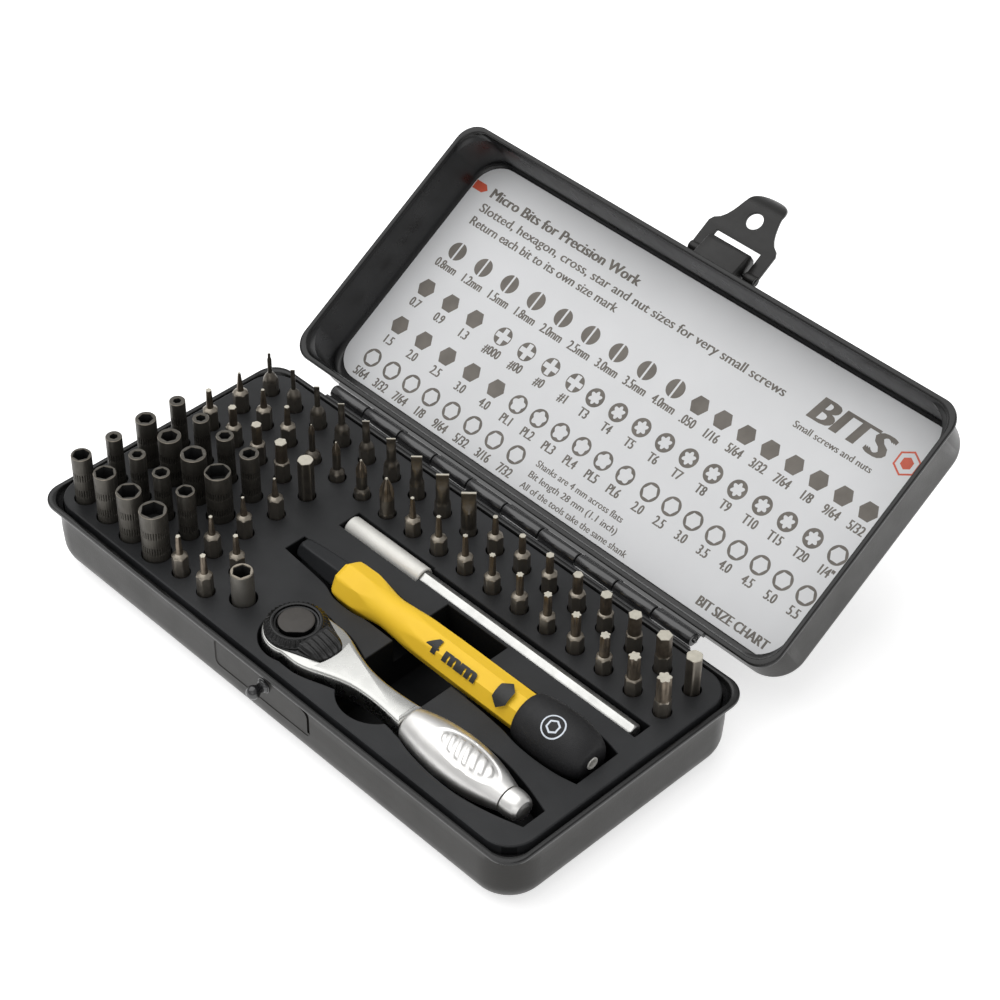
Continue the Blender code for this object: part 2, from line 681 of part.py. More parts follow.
def build_driver(nose_mat, grip_mat, cap_mat, steel_mat):
    nose = []
    nose.append((NOSE_TIP_X + 9.0, polygon(4.25, 6, 24)))
    nose.append((NOSE_TIP_X, polygon(4.25, 6, 24)))
    nose.append((NOSE_TIP_X, circle(2.75, 24)))
    nose.append((NOSE_TIP_X + 0.7, polygon(5.5, 6, 24)))
    nose.append((GRIP_FRONT_X - 0.3, polygon(7.4, 6, 24)))
    nose.append((GRIP_FRONT_X - 0.29, circle(2.0, 24)))
    nose.append((GRIP_FRONT_X + 14.0, circle(2.0, 24)))
    origin = (0.0, DRIVER_Y, DRIVER_Z)
    loft("driver_nose", along_x(nose, DRIVER_Y, DRIVER_Z), nose_mat, origin)

    bore = 2.3
    grip = [(GRIP_FRONT_X + 14.6, circle(bore, 24)), (GRIP_FRONT_X, circle(bore, 24))]
    grip += [(GRIP_FRONT_X, polygon(9.2, 8, 24)), (GRIP_FRONT_X + 1.6, polygon(11.2, 8, 24)),
             (-1.0, polygon(11.6, 8, 24)), (1.5, polygon(10.6, 8, 24)), (5.0, circle(4.75, 24)),
             (9.0, circle(4.5, 24)), (14.0, circle(4.75, 24)), (21.0, circle(5.25, 24)),
             (34.0, circle(5.45, 24)), (46.0, circle(5.7, 24)), (54.0, circle(6.2, 24)),
             (CAP_FRONT_X, circle(6.6, 24))]
    grip += [(CAP_FRONT_X, circle(3.3, 24)), (CAP_FRONT_X - 10.0, circle(3.3, 24))]
    loft("driver_grip", along_x(grip, DRIVER_Y, DRIVER_Z), grip_mat, origin)

    start = CAP_FRONT_X + 0.3
    cap = [(start - 9.5, circle(3.0, 24)), (start, circle(3.0, 24)), (start, circle(6.65, 24)),
           (61.5, circle(7.2, 24)), (65.5, circle(7.65, 24)), (69.5, circle(7.75, 24)), (73.5, circle(7.55, 24)),
           (76.8, circle(6.9, 24)), (79.2, circle(5.9, 24)), (CAP_END_X, circle(4.6, 24)),
           (CAP_END_X, circle(2.05, 24)), (CAP_END_X - 3.0, circle(2.05, 24))]
    loft("driver_cap", along_x(cap, DRIVER_Y, DRIVER_Z), cap_mat, origin)

    ring = [(CAP_END_X - 2.6, circle(1.2, 18)), (CAP_END_X - 2.6, circle(1.75, 18)),
            (CAP_END_X + 0.1, circle(1.75, 18)), (CAP_END_X + 0.1, circle(1.2, 18))]
    loft("driver_contact_ring", along_x(ring, DRIVER_Y, DRIVER_Z), steel_mat, origin, ring=True)


# ---------------------------------------------------------------- ratchet


def head_outline(grow=0.0):
    """Teardrop seen from above: round head, shoulders sweeping in to a narrow arm."""
    points = []
    arm = [(40.3, 4.0), (34.0, 3.45), (28.0, 3.3), (22.0, 3.9), (16.5, 5.4), (11.5, 7.2), (7.5, 8.3)]
    for x, half in arm:
        points.append((x, RATCHET_Y + half + grow))
    for k in range(13):
        a = math.radians(68 + (292 - 68) * k / 12)
        radius = HEAD_RADIUS + grow
        points.append((RATCHET_X + radius * math.cos(a), RATCHET_Y + radius * math.sin(a)))
    for x, half in reversed(arm):
        points.append((x, RATCHET_Y - half - grow))
    return points


def build_ratchet(chrome, satin, black, steel):
    cz = RATCHET_AXIS_Z
    outline = head_outline()
    crown = []
    for x, y in outline:
        crown.append((RATCHET_X + (x - RATCHET_X) * 0.985, RATCHET_Y + (y - RATCHET_Y) * 0.86))

    def level(points, z, lift):
        loop = []
        for x, y in points:
            t = min(1.0, max(0.0, (x - 12.0) / 16.0))
            t = t * t * (3 - 2 * t)
            loop.append((x, y, z * (1 - t) + lift * t))
        return loop

    loops = [level(crown, HEAD_BOTTOM_Z, cz - 3.2), level(outline, HEAD_BOTTOM_Z + 1.2, cz - 1.8),
             level(outline, HEAD_TOP_Z - 1.2, cz + 1.8), level(crown, HEAD_TOP_Z, cz + 3.2)]
    body = loft("ratchet_body", loops, chrome)
    tang = [(38.0, circle(2.6, 16)), (64.0, circle(2.6, 16))]
    boolean(body, loft("tang", along_x(tang, RATCHET_Y, cz), None), "UNION")
    # Drive bore right through the head, and the shallow seat for the selector
    bore = prism("drive_bore", [(RATCHET_X + x, RATCHET_Y + y) for x, y in circle(5.6, 24)], 10.0, 30.0)
    boolean(body, bore, "DIFFERENCE")
    origin = (RATCHET_X, RATCHET_Y, RATCHET_AXIS_Z)
    set_origin(body, origin)

    gear_bottom = HEAD_BOTTOM_Z - 1.0
    sock = polygon(4.25, 6, 24)
    gear = [(gear_bottom + 5.0, sock), (gear_bottom, sock), (gear_bottom, circle(3.2, 24)),
            (gear_bottom + 0.6, circle(3.5, 24)), (gear_bottom + 1.3, circle(3.5, 24)),
            (gear_bottom + 1.31, circle(5.3, 24)), (HEAD_TOP_Z - 1.6, circle(5.3, 24))]
    loft("ratchet_drive", along_z(gear, RATCHET_X, RATCHET_Y), steel, origin)

    # Selector ring with its ribbed tail
    z0 = HEAD_TOP_Z + 0.3
    z1 = z0 + 2.3
    ring = [(z0, circle(5.3, 36)), (z0, circle(8.3, 36)), (z1 - 0.7, circle(8.4, 36)), (z1, circle(7.4, 36)),
            (z1, circle(5.3, 36))]
    selector = loft("ratchet_selector", along_z(ring, RATCHET_X, RATCHET_Y), black, ring=True)
    tail = [(RATCHET_X + 6.5, RATCHET_Y - 5.2), (RATCHET_X + 12.2, RATCHET_Y - 4.4),
            (RATCHET_X + 14.0, RATCHET_Y - 2.6), (RATCHET_X + 14.0, RATCHET_Y + 2.6),
            (RATCHET_X + 12.2, RATCHET_Y + 4.4), (RATCHET_X + 6.5, RATCHET_Y + 5.2)]
    boolean(selector, prism("tail", tail, z0, z1 - 0.35), "UNION")
    set_origin(selector, origin)

    # Centre button: a disc with one flat, on a stem that runs in the drive
    flat = []
    for x, y in circle(4.75, 24, math.radians(7.5)):
        flat.append((RATCHET_X + x, RATCHET_Y + y))
    button = [[(x, y, HEAD_TOP_Z - 0.1) for x, y in flat], [(x, y, z1 - 0.1) for x, y in flat],
              [(RATCHET_X + (x - RATCHET_X) * 0.95, RATCHET_Y + (y - RATCHET_Y) * 0.95, z1 + 0.2) for x, y in flat]]
    made = loft("ratchet_button", button, satin["button"])
    edge = box("flat", (RATCHET_X - 8, RATCHET_Y - 8, 15), (RATCHET_X + 8, RATCHET_Y - 4.2, 35))
    turned = Matrix.Translation(Vector((RATCHET_X, RATCHET_Y, 0)) * MM)
    edge.data.transform(turned.inverted())
    edge.data.transform(Matrix.Rotation(math.radians(45), 4, "Z"))
    edge.data.transform(turned)
    boolean(made, edge, "DIFFERENCE")
    set_origin(made, origin)

    def oval(radius, count=24):
        return [(y * 1.0, z * 0.94) for y, z in circle(radius, count)]

    grip = [(64.6, circle(2.9, 24)), (JOINT_X, circle(2.9, 24)), (JOINT_X, oval(4.2)), (JOINT_X + 0.5, oval(4.7)),
            (44.5, oval(5.6)), (49.0, oval(6.4)), (54.0, oval(6.85)), (59.0, oval(6.9)), (64.0, oval(6.45)),
            (68.5, oval(5.6)), (72.0, oval(4.6)), (GRIP_END_X, oval(3.9))]
    grip += [(GRIP_END_X, circle(2.3, 24)), (GRIP_END_X - 6.0, circle(2.3, 24))]
    loft("ratchet_grip", along_x(grip, RATCHET_Y, cz), satin["grip"], origin)

    knob = [(GRIP_END_X - 5.6, circle(2.0, 24)), (GRIP_END_X + 0.3, circle(2.0, 24)),
            (GRIP_END_X + 0.3, oval(3.9)), (78.0, oval(3.7)), (79.4, oval(3.1)), (KNOB_END_X, oval(1.9))]
    loft("ratchet_end_knob", along_x(knob, RATCHET_Y, cz), satin["grip"], origin)


# ---------------------------------------------------------------- extension


def build_extension(satin, steel):
    origin = (0.0, EXT_Y, EXT_Z)
    sock = polygon(4.25, 6, 24)
    sleeve = [(SLEEVE_FRONT_X + 9.0, sock), (SLEEVE_FRONT_X, sock), (SLEEVE_FRONT_X, circle(2.75, 24)),
              (SLEEVE_FRONT_X + 0.4, circle(SLEEVE_RADIUS, 24)), (SLEEVE_END_X - 0.5, circle(SLEEVE_RADIUS, 24)),
              (SLEEVE_END_X, circle(2.8, 24)), (SLEEVE_END_X, circle(2.55, 24)),
              (SLEEVE_END_X - 14.0, circle(2.55, 24))]
    loft("extension_sleeve", along_x(sleeve, EXT_Y, EXT_Z), satin, origin)
    rod_hex = polygon(3.9, 6, 12, math.radians(30))
    tip = polygon(3.3, 6, 12, math.radians(30))
    rod = [(SLEEVE_END_X - 13.7, tip), (SLEEVE_END_X - 13.2, rod_hex), (ROD_END_X - 0.6, rod_hex), (ROD_END_X, tip)]
    loft("extension_rod", along_x(rod, EXT_Y, EXT_Z), steel, origin)


# ---------------------------------------------------------------- tray


def mirrored(profile, y):
    """Closed outline from (x, half-width) stations either side of a line along X."""
    upper = [(x, y + half) for x, half in profile]
    lower = [(x, y - half) for x, half in reversed(profile)]
    return upper + lower


def build_tray(mat):
    top = case_loop(TRAY_INSET + 0.5, TRAY_CORNER - 0.5, DECK_Z)
    loops = [case_loop(9.2, 3.0, TRAY_FLOOR), case_loop(TRAY_INSET, TRAY_CORNER, 5.6),
             case_loop(TRAY_INSET, TRAY_CORNER, DECK_Z - 0.5), top]
    tray = loft("tray_insert", loops, mat)
    above = DECK_Z + 2.0
    places = [(place, 0.0) for place in STRIP_PLACES]
    places += [(place, HOLE_BOTTOM) for place in SLOTTED_PLACES + HEX_PLACES]
    solids = []
    for (column, row), bottom in places:
        outline = [(column_x(column) + u, row_y(row) + v) for u, v in circle(HOLE_RADIUS, 10)]
        solids.append(prism("hole", outline, bottom, above))
    for index, (_, _, outer) in enumerate(NUTS):
        column, row = nut_place(index)
        x, y = column_x(column), row_y(row)
        if outer > 5.0:
            wide = circle(outer / 2 + 0.4, 12)
            shapes = [(HOLE_BOTTOM, circle(HOLE_RADIUS, 12)), (11.6, circle(HOLE_RADIUS, 12)), (11.61, wide),
                      (above, wide)]
        else:
            shapes = [(HOLE_BOTTOM, circle(HOLE_RADIUS, 12)), (above, circle(HOLE_RADIUS, 12))]
        solids.append(loft("nut_hole", along_z(shapes, x, y), None))
    x, y = ADAPTER
    shapes = [(HOLE_BOTTOM, circle(HOLE_RADIUS, 12)), (12.6, circle(HOLE_RADIUS, 12)), (12.61, circle(3.8, 12)),
              (above, circle(3.8, 12))]
    solids.append(loft("adapter_hole", along_z(shapes, x, y), None))

    # Grooves in the underside for the carrier strips
    solids += [bar_solid(bars, 0.45, 0.0, STRIP_BOTTOM + STRIP_THICK + 0.9) for bars in STRIP_BARS.values()]

    # Extension: sleeve pocket, then a narrower one for the rod
    pocket = mirrored([(-26.0, 3.35), (4.2, 3.35), (4.2, 2.7), (81.3, 2.7)], EXT_Y)
    solids.append(prism("ext_pocket", pocket, EXT_Z - 3.4, above))
    # Driver
    near_part = [(-29.0, 3.1), (-11.5, 5.6), (-9.6, 6.5), (0.5, 6.7), (6.0, 5.8), (20.0, 6.0), (46.0, 6.5)]
    back = near_part + [(57.0, 7.3), (63.0, 8.3), (70.0, 8.6), (77.0, 8.1), (81.8, 7.2)]
    front = near_part + [(57.0, 7.6), (63.0, 8.5), (70.0, 8.8), (77.0, 8.5), (81.8, 7.4)]
    pocket = [(x, DRIVER_Y + half) for x, half in back]
    pocket += [(x, DRIVER_Y - half) for x, half in reversed(front)]
    solids.append(prism("driver_pocket", pocket, DRIVER_Z - 8.2, above))
    # Ratchet
    outline = [(x, y) for x, y in head_outline(1.4)]
    deep = []
    for x, y in outline:
        if x < 6.0:
            dx, dy = x - RATCHET_X, y - RATCHET_Y
            deep.append((RATCHET_X + dx * 1.06, RATCHET_Y + dy * 1.06))
        else:
            deep.append((x, y))
    grip = [(41.0, 5.5), (46.0, 6.5), (52.0, 7.3), (58.0, 7.5), (64.0, 7.0), (70.0, 5.9), (76.0, 4.7), (82.0, 4.2)]
    upper = [(x, RATCHET_Y + half) for x, half in reversed(grip)]
    lower = [(x, RATCHET_Y - half) for x, half in grip]
    solids.append(prism("ratchet_pocket", upper + deep + lower, 13.4, above))
    # Finger channel across all three tools, with a rounded front end
    channel = [(36.4, 9.3), (15.8, 9.3), (15.8, -27.0)]
    for k in range(1, 12):
        a = math.radians(180 + 180 * k / 12)
        channel.append((26.1 + 10.3 * math.cos(a), -27.0 + 10.3 * math.sin(a)))
    channel.append((36.4, -27.0))
    solids.append(prism("finger_channel", channel, 6.0, above))
    return boolean(tray, join(solids, "hollows"), "DIFFERENCE", crossing=True)


def main():
    clear_scene()
    shell = material("case_black", (0.035, 0.035, 0.034), 0.0, 0.42)
    liner = material("tray_black", (0.03, 0.031, 0.033), 0.0, 0.7)
    card = material("label_silver", (0.72, 0.73, 0.74), 0.25, 0.45)
    hardware = material("hardware_black", (0.02, 0.02, 0.02), 0.6, 0.3)
    latch = material("latch_black", (0.03, 0.03, 0.03), 0.6, 0.35)
    bit_steel = material("bit_steel", (0.2, 0.18, 0.16), 0.9, 0.4)
    chrome = material("chrome", (0.85, 0.86, 0.86), 1.0, 0.12)
    satin = material("satin_chrome", (0.8, 0.8, 0.78), 1.0, 0.32)
    sleeve = material("extension_satin", (0.75, 0.74, 0.7), 1.0, 0.38)
    drive = material("drive_steel", (0.35, 0.34, 0.33), 1.0, 0.3)
    black = material("ring_black", (0.02, 0.02, 0.02), 0.1, 0.35)
    button = material("button_grey", (0.1, 0.1, 0.1), 0.4, 0.4)
    nose = material("nose_black", (0.025, 0.025, 0.027), 0.2, 0.4)
    yellow = material("grip_yellow", (0.85, 0.5, 0.03), 0.0, 0.45)
    cap = material("cap_black", (0.02, 0.02, 0.022), 0.0, 0.6)
    build_base(shell)
    build_tray(liner)
    build_lid(shell)
    build_label(card)
    build_pins(hardware)
    build_latch_plate(latch)
    build_stud(hardware)
    build_families(bit_steel)
    build_loose_bits(bit_steel)
    build_nuts(bit_steel)
    build_adapter(bit_steel)
    build_driver(nose, yellow, cap, sleeve)
    build_ratchet(chrome, {"grip": satin, "button": button}, black, drive)
    build_extension(sleeve, drive)


main()
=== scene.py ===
"""Finished looks of a precision screwdriver set: open hinged case, tray, three tools, 61 bits, an adapter.

Lengths are in millimetres in the frame's own axes (+X along the case, +Z up) and are written to meshes in
metres. Lid pieces are modelled shut over the base and then swung open about the frame's hinge.
"""

import json
from math import cos, hypot, pi, radians, sin, sqrt

import bmesh
import bpy
from mathutils import Matrix, Vector


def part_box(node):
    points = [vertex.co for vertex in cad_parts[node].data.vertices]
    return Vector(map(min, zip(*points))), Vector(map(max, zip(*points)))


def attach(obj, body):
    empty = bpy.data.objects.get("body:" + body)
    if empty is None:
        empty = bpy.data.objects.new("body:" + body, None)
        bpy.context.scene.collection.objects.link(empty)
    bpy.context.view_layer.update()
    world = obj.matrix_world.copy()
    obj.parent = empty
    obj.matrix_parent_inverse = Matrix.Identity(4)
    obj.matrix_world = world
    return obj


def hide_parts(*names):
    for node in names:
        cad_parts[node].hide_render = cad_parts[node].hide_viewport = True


MM = 0.001
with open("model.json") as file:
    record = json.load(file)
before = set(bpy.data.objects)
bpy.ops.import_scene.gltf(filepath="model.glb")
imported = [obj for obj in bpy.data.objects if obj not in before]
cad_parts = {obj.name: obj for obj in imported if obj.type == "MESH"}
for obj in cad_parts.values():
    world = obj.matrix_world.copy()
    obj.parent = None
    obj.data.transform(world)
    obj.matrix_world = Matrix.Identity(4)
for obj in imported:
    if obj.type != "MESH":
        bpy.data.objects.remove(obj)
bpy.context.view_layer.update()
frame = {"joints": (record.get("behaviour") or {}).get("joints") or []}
JOINTS = {joint["name"]: joint for joint in frame["joints"]}


def span(node):
    """Lowest and highest corner of a frame node, in millimetres."""
    low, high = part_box(node)
    return low / MM, high / MM


# Case, from the frame
CASE_LOW, CASE_HIGH = span("base_shell")
HALF_LENGTH = CASE_HIGH.x
HALF_WIDTH = -CASE_LOW.y
DECK_Z = span("tray_insert")[1].z
RIM_Z = DECK_Z + 0.1
HINGE_Y, HINGE_Z = [v / MM for v in JOINTS["lid_hinge"]["pos_m"][1:]]
LID_OPENING = -JOINTS["lid_hinge"]["range_deg"][0]
PART_LINE = 0.15
RIM_CORNER = 6.5
WALL_CORNER = 11.0
WALL_INSET = 0.8
SHEET = 1.2
BASE_FILLET = 8.0
LID_TOP_Z = 39.2
LID_FILLET = 4.2
HINGE_RADIUS = 1.9
HINGE_HALF = 68.5
KNUCKLES = 10

# Card in the lid
CARD_HALF = span("lid_label")[1].x
CARD_NEAR, CARD_FAR = -39.0, 37.2
CARD_Z = 37.5
CARD_CORNER = 8.5

PRINT_THICK = 0.012
ICON = 2.9

# Shallow panel in the base's front, its centre
PANEL_X, PANEL_Z = 0.4, 14.1

# Latch
STUD_LOW, STUD_HIGH = span("latch_stud")
LATCH_X = (STUD_LOW.x + STUD_HIGH.x) / 2
STUD_Z = (STUD_LOW.z + STUD_HIGH.z) / 2
LATCH_Y, LATCH_Z = -45.3, 30.4
HASP_BEND_START, HASP_BEND = 17.3, 0.075
HASP_HOLE_REACH = 14.5
WALL_Y = WALL_INSET - HALF_WIDTH

# Grid of bits
COLUMN_PITCH = 10.0
FIRST_COLUMN = -80.0
ROW_PITCH = 10.8
FIRST_ROW = 31.4
SHAFT_FLATS = 4.0
HOLE_RADIUS = 2.45
HOLE_BOTTOM, HOLE_EDGE = 5.9, 0.15
TRAY_TOP = DECK_Z + 0.6
BIT_BOTTOM = 6.6
ROUND = 60
FINE = 96
BIT_SOCKET = 4.25

# Heights above the deck of each family's shoulder and top
SLOTTED_SHOULDER, SLOTTED_TOP = 4.2, 14.2
METRIC_SHOULDER, METRIC_TOP = 6.2, 13.3
INCH_SHOULDER, INCH_TOP = 5.6, 12.4
STAR_SHOULDER, STAR_TOP = 4.9, 12.6
LOBE_SHOULDER, LOBE_TOP = 6.2, 13.2
CROSS_SHOULDER, LARGE_CROSS_SHOULDER, CROSS_TOP = 2.3, 1.2, 13.1
NUT_TOP = 15.7

# Tools
DRIVER_Y, DRIVER_Z = -4.5, 21.9
NOSE_X = span("driver_nose")[0].x
GRIP_LOW, GRIP_HIGH = span("driver_grip")
GRIP_START = GRIP_LOW.x + 1.3
CAP_HIGH_X = span("driver_cap")[1].x
RATCHET_X, RATCHET_Y, RATCHET_Z = [v / MM for v in JOINTS["ratchet_drive_spin"]["pos_m"]]
HEAD_RADIUS = 9.0
HEAD_TOP, HEAD_BOTTOM = 23.9, 15.4
KNOB_END_X = span("ratchet_end_knob")[1].x
EXT_Y, EXT_Z = 12.2, 19.2
SLEEVE_LOW, SLEEVE_HIGH = span("extension_sleeve")
ROD_END_X = span("extension_rod")[1].x


# ------------------ materials


def noise(tree, size, detail=3.0, stretch=(1, 1, 1)):
    """A noise node whose features are about `size` mm across in the piece's own space."""
    place = tree.nodes.new("ShaderNodeTexCoord")
    mapping = tree.nodes.new("ShaderNodeMapping")
    mapping.inputs["Scale"].default_value = [s / (size * MM) for s in stretch]
    made = tree.nodes.new("ShaderNodeTexNoise")
    made.inputs["Scale"].default_value = 1.0
    made.inputs["Detail"].default_value = detail
    tree.links.new(place.outputs["Object"], mapping.inputs["Vector"])
    tree.links.new(mapping.outputs["Vector"], made.inputs["Vector"])
    return made.outputs["Fac"]


def remap(tree, value, low, high, start=0.3, end=0.7):
    made = tree.nodes.new("ShaderNodeMapRange")
    made.inputs["From Min"].default_value = start
    made.inputs["From Max"].default_value = end
    made.inputs["To Min"].default_value = low
    made.inputs["To Max"].default_value = high
    tree.links.new(value, made.inputs["Value"])
    return made.outputs["Result"]


def material(name, colour, rough, metal, drift, grain=(0.0, 0.4), rough_drift=0.05, stretch=(1, 1, 1),
        coat=0.0, edge_highlight=0.0, specular=0.5):
    """Principled surface: colour and roughness drift, fine grain stands up, convex edges may be painted
    brighter as a painted highlight.

    `drift` and `grain` are pairs: how strong, and how large in millimetres.
    """
    drift, drift_size = drift
    grain, grain_size = grain
    made = bpy.data.materials.new(name)
    made.use_nodes = True
    tree = made.node_tree
    shader = tree.nodes["Principled BSDF"]
    shader.inputs["Metallic"].default_value = metal
    shader.inputs["Coat Weight"].default_value = coat
    shader.inputs["Coat Roughness"].default_value = 0.12
    shader.inputs["Specular IOR Level"].default_value = specular
    mix = tree.nodes.new("ShaderNodeMix")
    mix.data_type = "RGBA"
    mix.inputs["A"].default_value = [c * (1 - drift) for c in colour] + [1]
    mix.inputs["B"].default_value = [min(1.0, c * (1 + drift)) for c in colour] + [1]
    tree.links.new(remap(tree, noise(tree, drift_size), 0, 1), mix.inputs["Factor"])
    tint = mix.outputs["Result"]
    # Pointiness lightens the convex edges: a painted highlight along them.
    if edge_highlight:
        geometry = tree.nodes.new("ShaderNodeNewGeometry")
        edge = remap(tree, geometry.outputs["Pointiness"], 0, edge_highlight, 0.52, 0.62)
        lit_edges = tree.nodes.new("ShaderNodeMix")
        lit_edges.data_type = "RGBA"
        lit_edges.inputs["B"].default_value = [min(1.0, c * 2.2 + 0.05) for c in colour] + [1]
        tree.links.new(edge, lit_edges.inputs["Factor"])
        tree.links.new(tint, lit_edges.inputs["A"])
        tint = lit_edges.outputs["Result"]
    tree.links.new(tint, shader.inputs["Base Color"])
    low, high = max(0.02, rough - rough_drift), min(1.0, rough + rough_drift)
    tree.links.new(remap(tree, noise(tree, drift_size / 3), low, high), shader.inputs["Roughness"])
    if grain:
        bump = tree.nodes.new("ShaderNodeBump")
        bump.inputs["Strength"].default_value = grain
        bump.inputs["Distance"].default_value = grain_size * MM * 0.25
        tree.links.new(noise(tree, grain_size, 2.0, stretch), bump.inputs["Height"])
        tree.links.new(bump.outputs["Normal"], shader.inputs["Normal"])
    return made


PAINT = material("case_paint", (0.0185, 0.0174, 0.0155), 0.34, 0.0, (0.08, 30), (0.2, 0.5), specular=0.22)
PAINT_INSIDE = material("case_paint_inside", (0.009, 0.009, 0.0095), 0.3, 0.0, (0.1, 20), (0.12, 0.5))
RIM_PAINT = material("rim_paint", (0.007, 0.007, 0.007), 0.24, 0.0, (0.1, 12), (0.04, 0.5), specular=0.42)
GLOSS_BLACK = material("gloss_black", (0.012, 0.012, 0.013), 0.2, 0.0, (0.15, 8), (0.06, 0.4), specular=0.9)
HASP_PAINT = material("hasp_paint", (0.012, 0.0115, 0.011), 0.36, 0.0, (0.1, 6), (0.15, 0.4), specular=0.34)
TRAY = material("tray_moulding", (0.018, 0.0187, 0.02), 0.44, 0.0, (0.3, 26), (0.4, 0.25), rough_drift=0.09,
    specular=0.28)
# Darker copy of the tray moulding for the pocket floors: painted shade deep in the pockets.
TRAY_PAINTED_SHADE = material("tray_painted_shade", (0.009, 0.0094, 0.01), 0.5, 0.0, (0.14, 14), (0.4, 0.25), specular=0.14)
CARD = material("card", (0.72, 0.725, 0.735), 0.5, 0.0, (0.02, 18), (0.08, 0.2), specular=0.3)
INK = material("card_ink", (0.165, 0.15, 0.132), 0.55, 0.0, (0.12, 5), (0.1, 0.15), specular=0.3)
RED_INK = material("card_red_ink", (0.62, 0.1, 0.05), 0.5, 0.0, (0.1, 4), (0.1, 0.15))
BIT_STEEL = material("bit_steel", (0.125, 0.112, 0.094), 0.36, 0.85, (0.15, 2.5), (0.15, 0.16),
    rough_drift=0.08, stretch=(1, 1, 0.25), edge_highlight=0.4)
# Lighter copy of the bit steel for the cones, mouth chamfers and adapter collar: painted highlight.
BIT_PAINTED_HIGHLIGHT = material("bit_painted_highlight", (0.29, 0.26, 0.215), 0.34, 0.85, (0.08, 1.5), (0.08, 0.12))
BIT_NECK = material("bit_neck", (0.17, 0.14, 0.108), 0.38, 0.85, (0.2, 2.0), (0.25, 0.14), rough_drift=0.06,
    stretch=(1, 1, 0.25))
# Much lighter copy of the bit steel for the flat ends facing up: painted highlight.
BIT_END_PAINTED_HIGHLIGHT = material("bit_end_painted_highlight", (0.56, 0.53, 0.45), 0.42, 0.6, (0.08, 1.2), (0.15, 0.1), rough_drift=0.06)
NUT_STEEL = material("nut_steel", (0.07, 0.065, 0.056), 0.42, 0.65, (0.15, 3), (0.2, 0.15), rough_drift=0.07,
    edge_highlight=0.4, specular=0.35)
ADAPTER_STEEL = material("adapter_steel", (0.2, 0.19, 0.17), 0.42, 0.7, (0.1, 4), (0.2, 0.15))
# Near-black stand-in for the insides of sockets and bores, whose own metal is lighter: painted shade.
SOCKET_PAINTED_SHADE = material("socket_painted_shade", (0.01, 0.01, 0.01), 0.6, 0.3, (0.2, 1.5), (0.3, 0.3))
CHROME = material("chrome", (0.55, 0.55, 0.53), 0.27, 1.0, (0.03, 12), (0.03, 0.3))
SATIN = material("satin_chrome", (0.84, 0.83, 0.81), 0.38, 1.0, (0.03, 12), (0.04, 0.15), rough_drift=0.04)
SLEEVE = material("sleeve_nickel", (0.76, 0.75, 0.71), 0.5, 0.35, (0.03, 6), (0.2, 0.12), stretch=(0.2, 1, 1))
ROD = material("rod_steel", (0.6, 0.6, 0.58), 0.34, 0.9, (0.06, 8), (0.18, 0.14), rough_drift=0.06,
    stretch=(0.1, 1, 1))
DRIVE = material("drive_steel", (0.3, 0.29, 0.28), 0.3, 0.9, (0.1, 3), (0.1, 0.2))
RING_BLACK = material("ring_black", (0.005, 0.005, 0.005), 0.25, 0.0, (0.15, 3), (0.05, 0.3), coat=0.1,
    specular=0.3)
BUTTON = material("button_grey", (0.052, 0.047, 0.042), 0.46, 0.0, (0.08, 3), (0.2, 0.2), specular=0.35)
NOSE = material("nose_black", (0.011, 0.012, 0.0135), 0.38, 0.0, (0.12, 6), (0.3, 0.2), specular=0.26)
YELLOW = material("grip_yellow", (0.99, 0.62, 0.035), 0.45, 0.0, (0.04, 10), (0.25, 0.22), specular=0.3)
MARK_BLACK = material("mark_black", (0.012, 0.012, 0.011), 0.45, 0.0, (0.1, 2), (0.2, 0.2))
MARK_WHITE = material("mark_white", (0.68, 0.73, 0.8), 0.5, 0.0, (0.06, 2), (0.2, 0.2))
SOFT_BLACK = material("cap_black", (0.012, 0.012, 0.013), 0.52, 0.0, (0.12, 5), (0.9, 0.28), specular=0.35)


# ------------------ mesh helpers


def circle(radius, count, turn=0.0):
    step = 2 * pi / count
    return [(radius * cos(turn + step * k), radius * sin(turn + step * k)) for k in range(count)]


def polar(reach, count=ROUND, turn=0.0):
    """Outline whose distance from the centre is reach(angle), the angle counted from `turn`."""
    points = []
    for k in range(count):
        a = 2 * pi * k / count
        r = reach(a)
        points.append((r * cos(a + turn), r * sin(a + turn)))
    return points


def side_reach(angle, flats, sides=6):
    """Distance to the edge of a regular polygon with a corner at angle 0."""
    step = 2 * pi / sides
    return flats / 2 / cos(angle % step - step / 2)


def flatted(flats, cap=99.0, count=FINE, turn=0.0, sides=6):
    """Regular polygon with its corners held within a radius of cap."""
    return polar(lambda a: min(cap, side_reach(a, flats, sides)), count, turn)


def rounds(count, *pairs):
    """Stations of round outlines from (place along the axis, radius) pairs."""
    return [(at, circle(radius, count)) for at, radius in pairs]


def moved(outline, x, y):
    return [(u + x, v + y) for u, v in outline]


def level(outline, z, x=0.0, y=0.0):
    """The outline as a loop at height z."""
    return [(u + x, v + y, z) for u, v in outline]


def rounded_rect(half_x, half_y, radius, seg=12):
    points = []
    corners = ((half_x - radius, half_y - radius, 0), (radius - half_x, half_y - radius, 90),
        (radius - half_x, radius - half_y, 180), (half_x - radius, radius - half_y, 270))
    for cx, cy, start in corners:
        for k in range(seg + 1):
            a = radians(start + 90.0 * k / seg)
            points.append((cx + radius * cos(a), cy + radius * sin(a)))
    return points


